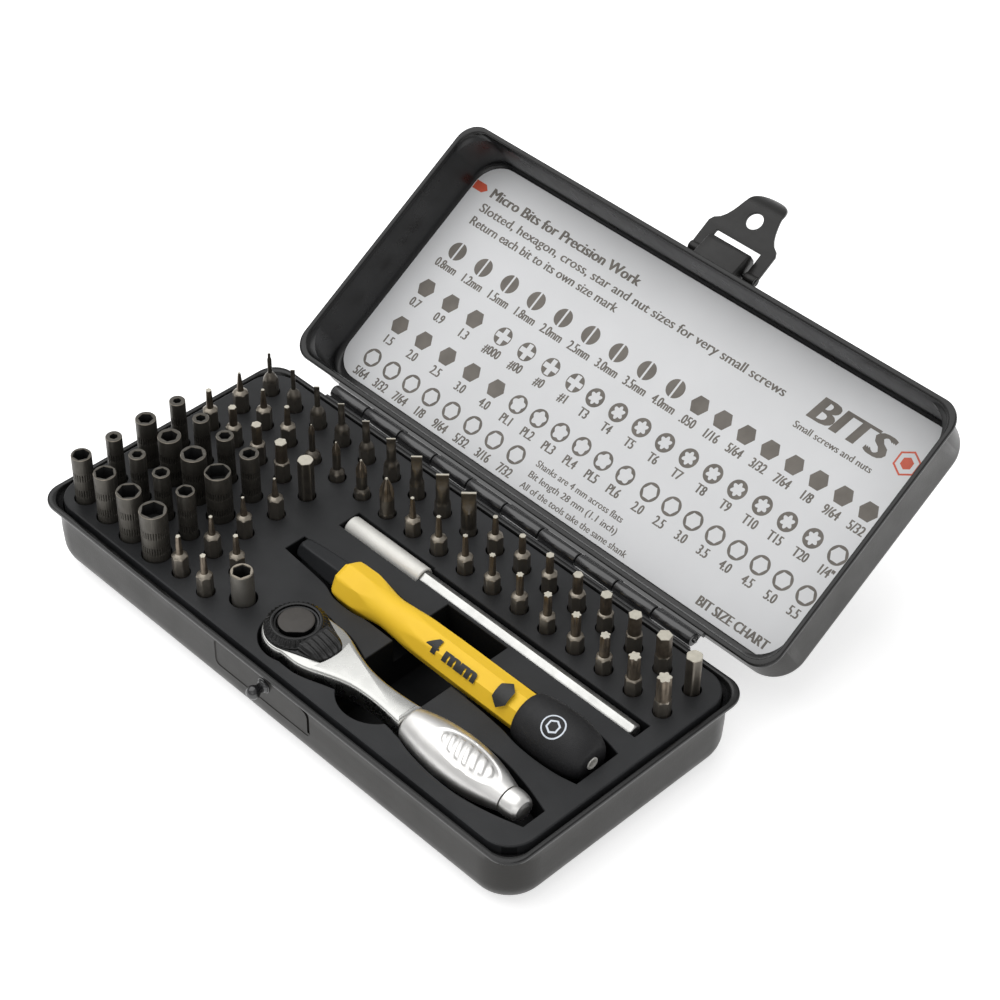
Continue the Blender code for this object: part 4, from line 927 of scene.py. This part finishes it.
def slotted_bit(width, column):
    turn = bit_turn(column, 0)
    half = width / 2
    neck = max(half * 1.04, 0.62)
    top = DECK_Z + SLOTTED_TOP
    if width > 3.3:
        shoulder = DECK_Z + (2.0 if width > 3.6 else SLOTTED_SHOULDER)
        cone = [(0.0, 2.3), (0.5, max(2.14, neck)), (1.0, max(neck, 1.9))]
    else:
        shoulder = DECK_Z + SLOTTED_SHOULDER
        cone = [(0.0, 2.3), (0.5, 2.2), (1.1, 2.03), (1.8, 1.75), (2.4, 1.4), (2.9, max(neck, 1.05))]
    cone = [(rise, r) for rise, r in cone if r >= neck]
    levels = shaft_levels(turn, shoulder, cone)
    start = max(levels[-1][0] + 0.4, DECK_Z + 7.4 if width < 3.3 else 0)
    marks = [0] * len(levels)
    levels.append((start, lambda a: neck))
    ground = min(top - start - 0.3, 2.0 + width * 0.95)
    thin = max(0.12, width * 0.09)
    for t, r in ((0.0, neck), (0.25, neck), (0.5, half), (0.8, half), (0.97, half)):
        blade = thin + (neck - thin) * (1 - t) ** 2.2
        levels.append((top - ground * (1 - t), lambda a, r=r: r, blade))
    levels.append((top, lambda a: half * 0.98, thin * 0.9))
    marks += [0] * 5 + [3]
    name = "slotted_" + str(float(width)).replace(".", "_") + "mm"
    finish_bit(name, column, 0, levels, marks, name, name)


def cross_bit(across, column):
    """Cross bit: round neck, then a point with four flutes."""
    turn = bit_turn(column, 1)
    radius = across / 2
    top = DECK_Z + CROSS_TOP
    shoulder = DECK_Z + (CROSS_SHOULDER if across < 3.4 else LARGE_CROSS_SHOULDER)
    cone = [(0.0, 2.3), (0.4, 2.12), (0.9, 1.8), (1.3, 1.45)]
    cone = [(rise, r) for rise, r in cone if r >= radius]
    levels = shaft_levels(turn, shoulder, cone)
    start = levels[-1][0] + 0.35
    marks = [0] * len(levels)
    levels.append((start, lambda a: radius))

    def flute(a, r, core):
        near = abs((a - 0.6 + pi / 4) % (pi / 2) - pi / 4)
        wing = 0.2 * r + 0.05
        return min(r, max(core, wing / max(sin(near), 1e-3)))

    rise = across * 1.75
    for t, r, core in ((0.0, 1.0, 1.0), (0.18, 1.0, 0.8), (0.4, 0.98, 0.62), (0.6, 0.80, 0.52),
            (0.8, 0.5, 0.36), (0.95, 0.25, 0.2)):
        levels.append((top - rise * (1 - t), lambda a, r=r, c=core: flute(a, radius * r, radius * c)))
        marks.append(0 if t == 0.0 else 2)
    levels.append((top, lambda a: radius * 0.16))
    marks.append(3)
    finish_bit("cross_%d" % (column - 3), column, 1, levels, marks, "case", "phillips_bits")


def lobed(radius, inner, lobes, turn):
    return lambda a: radius * (inner + (1 - inner) * (0.5 + 0.5 * cos(lobes * (a - turn))) ** 0.8)


def build_bits():
    for k, width in enumerate((0.8, 1.2, 1.5, 1.8, 2.0, 2.5, 3.0, 3.5, 4.0)):
        slotted_bit(width, k)
    for k, flats in enumerate((1.27, 1.59, 1.98, 2.38, 2.78, 3.18, 3.57, 3.97)):
        hexagon_bit("inch_hex_%d" % k, 9 + k, 0, flats, INCH_SHOULDER, INCH_TOP, "case", "inch_hex_bits")
    places = [(0, 1), (1, 1), (2, 1)] + [(k, 2) for k in range(5)]
    for (column, row), flats in zip(places, (0.7, 0.9, 1.3, 1.5, 2.0, 2.5, 3.0, 4.0)):
        name = "hex_" + str(float(flats)).replace(".", "_") + "mm"
        hexagon_bit(name, column, row, flats, METRIC_SHOULDER, METRIC_TOP, name, name)
    for k, across in enumerate((1.7, 2.3, 3.0, 3.9)):
        cross_bit(across, 3 + k)
    for k, across in enumerate((1.15, 1.3, 1.42, 1.7, 1.99, 2.31, 2.5, 2.74, 3.27, 3.86)):
        turn = bit_turn(7 + k, 1)
        tip_bit("star_%d" % k, 7 + k, 1, STAR_SHOULDER, STAR_TOP, across * 0.46,
            lobed(across / 2, 0.74, 6, turn), "case", "torx_bits")
    spots = [(4, 3), (4, 4), (4, 5), (4, 6), (5, 5), (5, 6)]
    for k, ((column, row), across) in enumerate(zip(spots, (0.8, 0.9, 1.1, 1.3, 1.4, 1.6))):
        turn = bit_turn(column, row)
        tip_bit("five_lobe_%d" % k, column, row, LOBE_SHOULDER, LOBE_TOP, max(0.5, across * 0.48),
            lobed(across / 2, 0.8, 5, turn), "case", "pentalobe_bits")


def hexagon_bit(name, column, row, flats, shoulder, top, body, node):
    turn = bit_turn(column, row)
    if flats > 3.8:
        levels = shaft_levels(turn, DECK_Z + top - 0.35, [(0.23, 2.12), (0.35, 1.96)])
        finish_bit(name, column, row, levels, [0, 0, 1, 3], body, node)
    else:
        tip_bit(name, column, row, shoulder, top, flats * 0.5, lambda a: side_reach(a - turn, flats), body,
            node)


def build_nuts():
    for index, (name, nut, outer) in enumerate(NUTS):
        column, row = index % 4, 3 + index // 4
        build_nut(name, nut, outer, column_x(column), row_y(row), bit_turn(column, row))


def build_nut(name, nut, outer, x, y, turn):
    """Nut setter: knurled in two bands, with a painted highlight on the chamfer round its mouth and painted
    shade in its bore.
    """
    radius = outer / 2
    top = DECK_Z + NUT_TOP
    grooves = int(round(2 * pi * radius / 0.72))
    count = grooves * 6

    def barrel_loop(z, depth, shrink=0.0):
        outline = polar(lambda a: radius - shrink - depth * max(0.0, cos(grooves * a)) ** 2, count, turn)
        return level(outline, z, x, y)

    def hexagon(flats, z, cap):
        return level(flatted(flats, cap, count, turn), z, x, y)

    low = 11.8 if outer > 5.0 else 14.6
    loops = [hexagon(SHAFT_FLATS, BIT_BOTTOM, 1.95), hexagon(SHAFT_FLATS, BIT_BOTTOM + 0.35, 2.24),
        hexagon(SHAFT_FLATS, low, min(2.24, radius)), barrel_loop(low + 0.5, 0, 0.3),
        barrel_loop(low + 1.0, 0)]
    for low, high in ((13.0, 10.6), (7.4, 5.2)):
        loops += [barrel_loop(top - low - 0.1, 0), barrel_loop(top - low + 0.12, 0.28),
            barrel_loop(top - high - 0.12, 0.28), barrel_loop(top - high + 0.1, 0)]
    marks = [0] * len(loops)
    mouth = min(nut, (outer - 0.9) * 0.9)
    # The mouth's chamfer takes the painted highlight and the bore the painted shade.
    loops += [barrel_loop(top - 0.16, 0), barrel_loop(top, 0, 0.14)]
    marks += [1]
    loops += [hexagon(mouth + 0.16, top, radius - 0.3), hexagon(mouth, top - 0.16, radius - 0.38)]
    marks += [0, 1]
    loops += [hexagon(mouth, top - 4.0, radius - 0.38)]
    marks += [2]
    solid = Solid().loft(loops, marks=marks)
    make("setter_" + name, solid, [NUT_STEEL, BIT_PAINTED_HIGHLIGHT, SOCKET_PAINTED_SHADE], name, "bit_steel", [name], sharp=30)


def build_adapter():
    top = ADAPTER_HIGH.z
    turn = radians(15)
    shank = ((BIT_BOTTOM, 4.0, 1.95), (BIT_BOTTOM + 0.35, 4.0, 2.24), (13.0, 4.0, 2.24))
    collar = ((13.6, 2.8), (13.9, 3.05), (top - 0.25, 3.05), (top, 2.85))
    socket = ((top, 4.5, 2.7), (top - 0.3, 4.2, 99.0), (top - 5.0, 4.2, 99.0))
    stations = [(z, flatted(flats, cap, ROUND, turn)) for z, flats, cap in shank]
    stations += [(z, circle(radius, ROUND, turn)) for z, radius in collar]
    stations += [(z, flatted(flats, cap, ROUND, turn)) for z, flats, cap in socket]
    # The collar takes the painted highlight and the socket the painted shade.
    solid = Solid().loft(along_z(stations, *ADAPTER), marks=[0] * 5 + [1] * 3 + [2])
    make("adapter_body", solid, [ADAPTER_STEEL, BIT_PAINTED_HIGHLIGHT, SOCKET_PAINTED_SHADE], "adapter", "bit_steel",
        ["drive_adapter"], sharp=30)


# ------------------ driver


def build_nose():
    socket = flatted(BIT_SOCKET)
    stations = [(NOSE_X + 9.0, socket), (NOSE_X, socket), (NOSE_X, circle(2.55, FINE))]
    for x, flats, cap in ((0.15, 5.3, 2.75), (0.6, 5.5, 2.95), (1.4, 5.6, 3.13), (5.0, 6.2, 3.5),
            (10.0, 6.95, 3.92), (14.3, 7.4, 4.2), (16.0, 7.5, 4.25)):
        stations.append((NOSE_X + x, flatted(flats, cap)))
    end = GRIP_START - 0.08
    stations += rounds(FINE, (end, 2.0), (end + 10, 2.0))
    # The socket's inside takes the painted shade.
    solid = Solid().loft(along_x(stations, DRIVER_Y, DRIVER_Z), marks=[1] + [0] * 10)
    make("driver_nose_piece", solid, [NOSE, SOCKET_PAINTED_SHADE], "driver", "nose_black", ["driver_nose"], sharp=22)


GRIP_ROUND = [(-8.3, 5.9), (-1.0, 6.15), (1.5, 5.9), (5.0, 5.05), (9.0, 4.5), (14.0, 4.75), (21.0, 5.22),
    (34.0, 5.45), (46.0, 5.7), (54.0, 6.2), (58.6, 6.6)]
GRIP_FLATS = [(-8.3, 9.4), (-7.6, 10.3), (-6.8, 11.2), (-3.5, 11.45), (-1.0, 11.45), (1.5, 11.0), (5.0, 10.1),
    (9.0, 10.0)]


def build_grip():
    xs = [GRIP_START + d for d in (0.0, 0.15, 0.4, 0.8, 1.3, 1.6, 2.0)]
    while xs[-1] < 57.6:
        xs.append(xs[-1] + 0.9)
    xs += [58.35, 58.6]
    stations = rounds(FINE, (GRIP_START + 12.2, 2.3), (GRIP_START, 2.3), (GRIP_START, 3.9))
    for x in xs:
        cap = smooth(GRIP_ROUND, x) - (0.2 if x > 58.5 else 0.0)
        stations.append((x, flatted(smooth(GRIP_FLATS, x), cap, sides=8)))
    end = GRIP_HIGH.x
    stations += rounds(FINE, (end, 3.3), (end - 10.0, 3.3))
    make("driver_grip_moulding", Solid().loft(along_x(stations, DRIVER_Y, DRIVER_Z)), [YELLOW], "driver",
        "grip_yellow", ["driver_grip"], sharp=24)

    on_grip = round_driver(GRIP_ROUND, 129)
    words = lettering("4 mm", 4.3, 35.0, 0.2, 1.0, 0.9, width=17.0)
    print_piece("grip_lettering", [finer(words)], MARK_BLACK, "driver", "cap_black", on_grip)
    badge = [(52.7 + u * 0.85, 1.0 + v * 1.2) for u, v in circle(3.3, 6, pi / 6)]
    print_piece("grip_badge", [finer(shapes_mesh([badge]))], MARK_BLACK, "driver", "cap_black", on_grip)


def round_driver(table, start):
    """Carry for a print laid on the driver's round, its middle line at `start` degrees from +Y."""
    def carry(u, v, w):
        r = smooth(table, u) + w - 0.004
        a = radians(start) - v / r
        return (u, DRIVER_Y + r * cos(a), DRIVER_Z + r * sin(a))

    return carry


def finer(mesh, step=0.7):
    """Cut a flat mesh across at even steps so that it can follow a curved surface."""
    work = bmesh.new()
    work.from_mesh(mesh)
    for axis in (0, 1):
        low = min(v.co[axis] for v in work.verts)
        high = max(v.co[axis] for v in work.verts)
        at = low + step
        while at < high:
            everything = work.verts[:] + work.edges[:] + work.faces[:]
            centre = (at, 0, 0) if axis == 0 else (0, at, 0)
            bmesh.ops.bisect_plane(work, geom=everything, dist=1e-5, plane_co=centre,
                plane_no=(1 - axis, axis, 0))
            at += step
    work.to_mesh(mesh)
    work.free()
    return mesh


CAP_TABLE = [(58.9, 6.65), (61.5, 7.2), (65.5, 7.65), (69.5, 7.75), (73.5, 7.55), (76.8, 6.9), (79.2, 5.9),
    (80.2, 5.1)]


def build_cap():
    x0 = 58.9
    stations = rounds(FINE, (x0 - 9.3, 3.0), (x0, 3.0), (x0, 6.4), (x0 + 0.2, 6.62))
    x = x0 + 0.8
    while x < 80.2:
        stations.append((x, circle(smooth(CAP_TABLE, x), FINE)))
        x += 0.8
    stations += rounds(FINE, (80.35, 4.85), (CAP_HIGH_X, 4.4), (CAP_HIGH_X, 2.05), (CAP_HIGH_X - 3.0, 2.05))
    make("driver_swivel_cap", Solid().loft(along_x(stations, DRIVER_Y, DRIVER_Z)), [SOFT_BLACK], "driver_cap",
        "cap_black", ["driver_cap"], sharp=32)
    ring = rounds(48, (CAP_HIGH_X - 2.6, 1.2), (CAP_HIGH_X - 2.6, 1.75), (CAP_HIGH_X, 1.75),
        (CAP_HIGH_X + 0.1, 1.65), (CAP_HIGH_X + 0.1, 1.3), (CAP_HIGH_X, 1.2))
    make("cap_contact", Solid().loft(along_x(ring, DRIVER_Y, DRIVER_Z), ring=True), [SLEEVE], "driver_cap",
        "extension_satin", ["driver_contact_ring"])

    on_cap = round_driver(CAP_TABLE, 113.5)
    rims = ((3.3, 64, 0.0), (2.9, 64, 0.0), (2.0, 6, pi / 6), (1.45, 6, pi / 6))
    mark = [moved(circle(radius, count, turn), 70, 0) for radius, count, turn in rims]
    print_piece("cap_mark", [finer(shapes_mesh(mark))], MARK_WHITE, "driver_cap", "label_silver", on_cap)


# ------------------ ratchet


def lift(x):
    """How far the arm has left the head's level at x, 0 to 1."""
    return step_up(x, 9.0, 24.0)


def build_head():
    """Forged head and arm with a seat for the selector and a bore for the drive."""
    outline = head_outline()
    loops = []
    profile = [(1.3, 0.0), (0.75, 0.12), (0.3, 0.45), (0.05, 1.0), (0.0, 1.7)]
    up = [(depth, HEAD_BOTTOM + rise, RATCHET_Z - 3.2 + rise) for depth, rise in profile]
    top = [(depth, HEAD_TOP + 0.25 - rise * 0.8, RATCHET_Z + 3.2 - rise * 0.8)
        for depth, rise in reversed(profile)]
    for depth, head_z, arm_z in up + top:
        loops.append([(x, y, head_z * (1 - lift(x)) + arm_z * lift(x)) for x, y in inset(outline, depth)])
    body = make("ratchet_forging", Solid().loft(loops), [CHROME], "ratchet", "chrome", ["ratchet_body"],
        sharp=40)
    for bottom, radius, count in ((HEAD_TOP, 14.45, FINE), (10.0, 5.6, 64)):
        stations = rounds(count, (bottom, radius), (30.0, radius))
        cut(body, Solid().loft(along_z(stations, RATCHET_X, RATCHET_Y)))
    body.data.set_sharp_from_angle(angle=radians(32))


def build_selector():
    """Toothed turning ring on a black teardrop plate, with a ribbed thumb tail."""
    z0 = HEAD_TOP + 0.3
    teeth = 40
    count = teeth * 6
    profile = [(0.0, 5.3, 0, 0), (0.0, 8.2, 0, 0), (0.1, 8.35, 0, 0.05), (0.45, 8.35, 0, 0.08),
        (0.6, 8.15, 0, 0.03), (0.8, 8.1, 0.04, 0), (0.95, 7.85, 0.5, 0), (1.75, 7.0, 0.5, 0),
        (1.95, 6.92, 0.05, 0), (2.2, 6.8, 0, 0), (2.3, 6.6, 0, 0), (2.3, 6.15, 0, 0), (2.2, 5.95, 0, 0),
        (1.7, 5.75, 0, 0), (1.6, 5.3, 0, 0)]
    loops = []
    for z, radius, tooth, fine in profile:
        points = polar(lambda a: radius + tooth * (0.5 + 0.5 * cos(teeth * a)) ** 1.2
            + fine * cos(teeth * 3 * a), count)
        loops.append(level(points, z0 + z, RATCHET_X, RATCHET_Y))
    solid = Solid().loft(loops, ring=True)
    make("selector_ring", solid, [RING_BLACK], "selector", "ring_black", ["ratchet_selector"], sharp=40)
    plate = arc(RATCHET_X, RATCHET_Y, 8.45, 69.3, 290.7, 56) + arc(RATCHET_X + 9.2, RATCHET_Y, 5.2, -69.3,
        69.3, 24)
    edge = 0.1
    loops = [level(plate, HEAD_TOP + 0.03), level(plate, z0 + 0.12 - edge)]
    for a in (pi / 4, pi / 2):
        loops.append(level(inset(plate, edge * (1 - cos(a))), z0 + 0.12 - edge + edge * sin(a)))
    make("selector_plate", Solid().loft(loops), [RING_BLACK], "selector", "ring_black")
    make("selector_tail", tail_solid(z0 + 0.05), [RING_BLACK], "selector", "ring_black", sharp=50)


def tail_solid(z0):
    loops = []
    half_table = [(6.6, 5.3), (9.0, 5.1), (11.5, 4.6), (13.2, 3.7), (14.1, 2.5)]
    high_table = [(6.6, 2.1), (8.2, 2.25), (9.5, 2.15), (11.0, 1.75), (12.5, 1.15), (13.6, 0.7), (14.1, 0.4)]
    steps = 22
    columns = 60
    for i in range(steps + 1):
        x = 6.6 + 7.5 * i / steps
        half = smooth(half_table, x)
        high = smooth(high_table, x)
        rib = 0.32 * step_up(x, 7.4, 8.4) * (1 - step_up(x, 13.3, 14.0))
        loop = [(RATCHET_X + x, RATCHET_Y - half, z0), (RATCHET_X + x, RATCHET_Y + half, z0)]
        for k in range(columns + 1):
            y = half * (1 - 2 * k / columns)
            edge = 1 - step_up(abs(y), half - 0.6, half)
            ridge = max(0.0, cos(2 * pi * y / 1.75)) ** 0.7 if abs(y) < 4.0 else 0.0
            z = z0 + max(0.05, (high - rib * (1 - ridge)) * (0.55 + 0.45 * edge))
            loop.append((RATCHET_X + x, RATCHET_Y + y, z))
        loops.append(loop)
    return Solid().loft(loops)


def build_button():
    def face(angle, radius):
        near = (angle + pi / 4 + pi) % (2 * pi) - pi
        flat = radius - 0.55
        return min(radius, flat / cos(near)) if abs(near) < 1.2 else radius

    z1 = HEAD_TOP + 2.6
    stations = [(HEAD_TOP - 0.1, 4.7), (z1 - 0.3, 4.75), (z1 - 0.02, 4.7), (z1 + 0.12, 4.5),
        (z1 + 0.18, 4.15)]
    loops = along_z([(z, polar(lambda a, r=r: face(a, r), FINE)) for z, r in stations], RATCHET_X, RATCHET_Y)
    make("ratchet_push_button", Solid().loft(loops, marks=[1, 1, 0, 0]), [BUTTON, RING_BLACK], "button",
        "button_grey", ["ratchet_button"], sharp=40)


def build_drive():
    bottom = HEAD_BOTTOM - 1.0
    socket = flatted(BIT_SOCKET, count=72)
    stations = [(bottom + 5.0, socket), (bottom, socket)]
    for z, radius in ((0.0, 3.1), (0.2, 3.35), (0.6, 3.5), (1.2, 3.5), (1.25, 5.1), (1.45, 5.3)):
        stations.append((bottom + z, circle(radius, 72)))
    stations.append((HEAD_TOP - 1.6, circle(5.3, 72)))
    # The drive's socket takes the painted shade.
    make("ratchet_drive_gear", Solid().loft(along_z(stations, RATCHET_X, RATCHET_Y), marks=[1] + [0] * 7),
        [DRIVE, SOCKET_PAINTED_SHADE], "drive", "drive_steel", ["ratchet_drive"])


HANDLE = [(40.6, 4.55), (41.3, 4.8), (44.5, 5.6), (49.0, 6.4), (54.0, 6.85), (59.0, 6.9), (64.0, 6.45),
    (68.5, 5.6), (72.0, 4.6), (74.3, 3.9)]


def recess(x, angle):
    """Depth of the oval panel on the handle's top, with ribs raised in it."""
    radius = smooth(HANDLE, x)
    across = (angle - radians(97)) * radius
    along = x - 61.1
    e = hypot(along / 10.9, across / 4.5)
    if e >= 1.0:
        return 0.0
    depth = 0.32 * (1 - step_up(e, 0.9, 0.99))
    inner = hypot(along / 9.3, across / 3.1)
    if inner < 1.0:
        wave = 0.5 + 0.5 * cos(2 * pi * (along - 0.45 * across) / 2.6)
        depth -= 0.27 * step_up(wave, 0.35, 0.65) * (1 - step_up(inner, 0.86, 0.98))
    return depth


def build_handle():
    count = 144
    xs = [40.6, 40.75, 41.0, 41.5]
    while xs[-1] < 73.6:
        xs.append(xs[-1] + 0.3)
    xs.append(74.3)
    stations = rounds(count, (64.0, 2.9), (40.6, 2.9))
    for i, x in enumerate(xs):
        radius = smooth(HANDLE, x) - (0.35, 0.12, 0.0)[min(i, 2)]
        outline = polar(lambda a: radius - recess(x, a), count)
        stations.append((x, [(u, v * 0.94) for u, v in outline]))
    stations += rounds(count, (74.3, 2.3), (68.0, 2.3))
    make("ratchet_handle", Solid().loft(along_x(stations, RATCHET_Y, RATCHET_Z)), [SATIN], "ratchet",
        "satin_chrome", ["ratchet_grip"], sharp=42)
    knob = [(69.0, 2.0), (74.6, 2.0), (74.6, 3.7), (74.72, 3.88), (75.0, 3.93), (76.5, 3.88), (77.6, 3.76),
        (78.5, 3.55), (79.2, 3.22), (79.7, 2.8), (KNOB_END_X - 0.25, 2.25), (KNOB_END_X - 0.05, 1.7),
        (KNOB_END_X, 1.1)]
    loops = along_x([(x, [(u, v * 0.94) for u, v in circle(r, 72)]) for x, r in knob], RATCHET_Y, RATCHET_Z)
    make("ratchet_end_piece", Solid().loft(loops), [SATIN], "ratchet", "satin_chrome", ["ratchet_end_knob"],
        sharp=40)


# ------------------ extension


def build_extension():
    x0, x1 = SLEEVE_LOW.x, SLEEVE_HIGH.x
    socket = flatted(BIT_SOCKET, count=84)
    stations = [(x0 + 9.0, socket), (x0, socket)]
    stations += rounds(84, (x0, 2.7), (x0 + 0.12, 2.88), (x0 + 0.4, 3.0), (x1 - 0.45, 3.0), (x1 - 0.12, 2.85),
        (x1, 2.65), (x1, 2.42), (x1 - 0.5, 2.3), (x1 - 13.5, 2.3))
    # The sleeve's socket takes the painted shade.
    make("extension_socket", Solid().loft(along_x(stations, EXT_Y, EXT_Z), marks=[1] + [0] * 9),
        [SLEEVE, SOCKET_PAINTED_SHADE], "extension", "extension_satin", ["extension_sleeve"])
    profile = ((x1 - 13.2, 3.4, 1.9), (x1 - 12.9, 3.9, 2.2), (ROD_END_X - 0.55, 3.9, 2.2),
        (ROD_END_X - 0.2, 3.75, 2.0), (ROD_END_X, 3.4, 1.75))
    rod = [(x, flatted(flats, cap, ROUND, radians(30))) for x, flats, cap in profile]
    make("extension_shank", Solid().loft(along_x(rod, EXT_Y, EXT_Z)), [ROD], "extension", "drive_steel",
        ["extension_rod"], sharp=25)


# ------------------ stage


CAMERA_AT = (366.719, -322.840, 488.235)
CAMERA_RIGHT = Vector((0.69803004, 0.71595616, 0.01268265))
CAMERA_DOWN = Vector((0.48369421, -0.45837555, -0.74560833))
CAMERA_VIEW = Vector((-0.52800946, 0.52659153, -0.66626374))


def build_camera():
    lens = bpy.data.cameras.new("camera")
    lens.lens = 94.23
    lens.sensor_width = 36.0
    lens.clip_start = 0.01
    lens.clip_end = 20.0
    camera = link("camera", lens)
    turned = Matrix((CAMERA_RIGHT, -CAMERA_DOWN, -CAMERA_VIEW)).transposed().to_4x4()
    camera.matrix_world = Matrix.Translation(Vector(CAMERA_AT) * MM) @ turned
    bpy.context.scene.camera = camera


def area_light(name, at, size, watts):
    data = bpy.data.lights.new(name, "AREA")
    data.shape = "RECTANGLE"
    data.size, data.size_y = size
    data.energy = watts
    lamp = link(name, data)
    lamp.location = at
    aim = Vector((0.0, 0.02, 0.02))
    lamp.rotation_euler = (aim - Vector(at)).to_track_quat("-Z", "Y").to_euler()


def build_stage():
    pale = material("floor_pale", (0.86, 0.86, 0.86), 0.7, 0.0, (0.01, 400))
    shader = pale.node_tree.nodes["Principled BSDF"]
    shader.inputs["Emission Color"].default_value = (1.0, 1.0, 1.0, 1.0)
    shader.inputs["Emission Strength"].default_value = 0.6
    sheet = rounded_rect(3000, 3000, 300, 8)
    made = link("floor", mesh_of("floor", Solid().loft([level(sheet, -20.0), level(sheet, -0.05)])))
    made.data.materials.append(pale)
    world = bpy.data.worlds.new("studio")
    world.use_nodes = True
    tree = world.node_tree
    background = tree.nodes["Background"]
    background.inputs["Color"].default_value = (1.0, 1.0, 1.0, 1.0)
    seen = tree.nodes.new("ShaderNodeLightPath").outputs["Is Camera Ray"]
    tree.links.new(remap(tree, seen, 0.5, 0.97, 0.0, 1.0), background.inputs["Strength"])
    bpy.context.scene.world = world
    area_light("key", (-0.36, -0.08, 0.98), (1.4, 1.4), 8.5)
    area_light("fill", (0.5, -0.75, 0.55), (0.8, 0.5), 0.9)
    bpy.context.scene.view_settings.view_transform = "Standard"


for build in (build_camera, build_stage, build_base, build_lid, build_hinge, build_latch, build_card,
        build_print, build_tray, build_bits, build_nuts, build_adapter, build_nose, build_grip, build_cap,
        build_head, build_selector, build_button, build_drive, build_handle, build_extension):
    build()
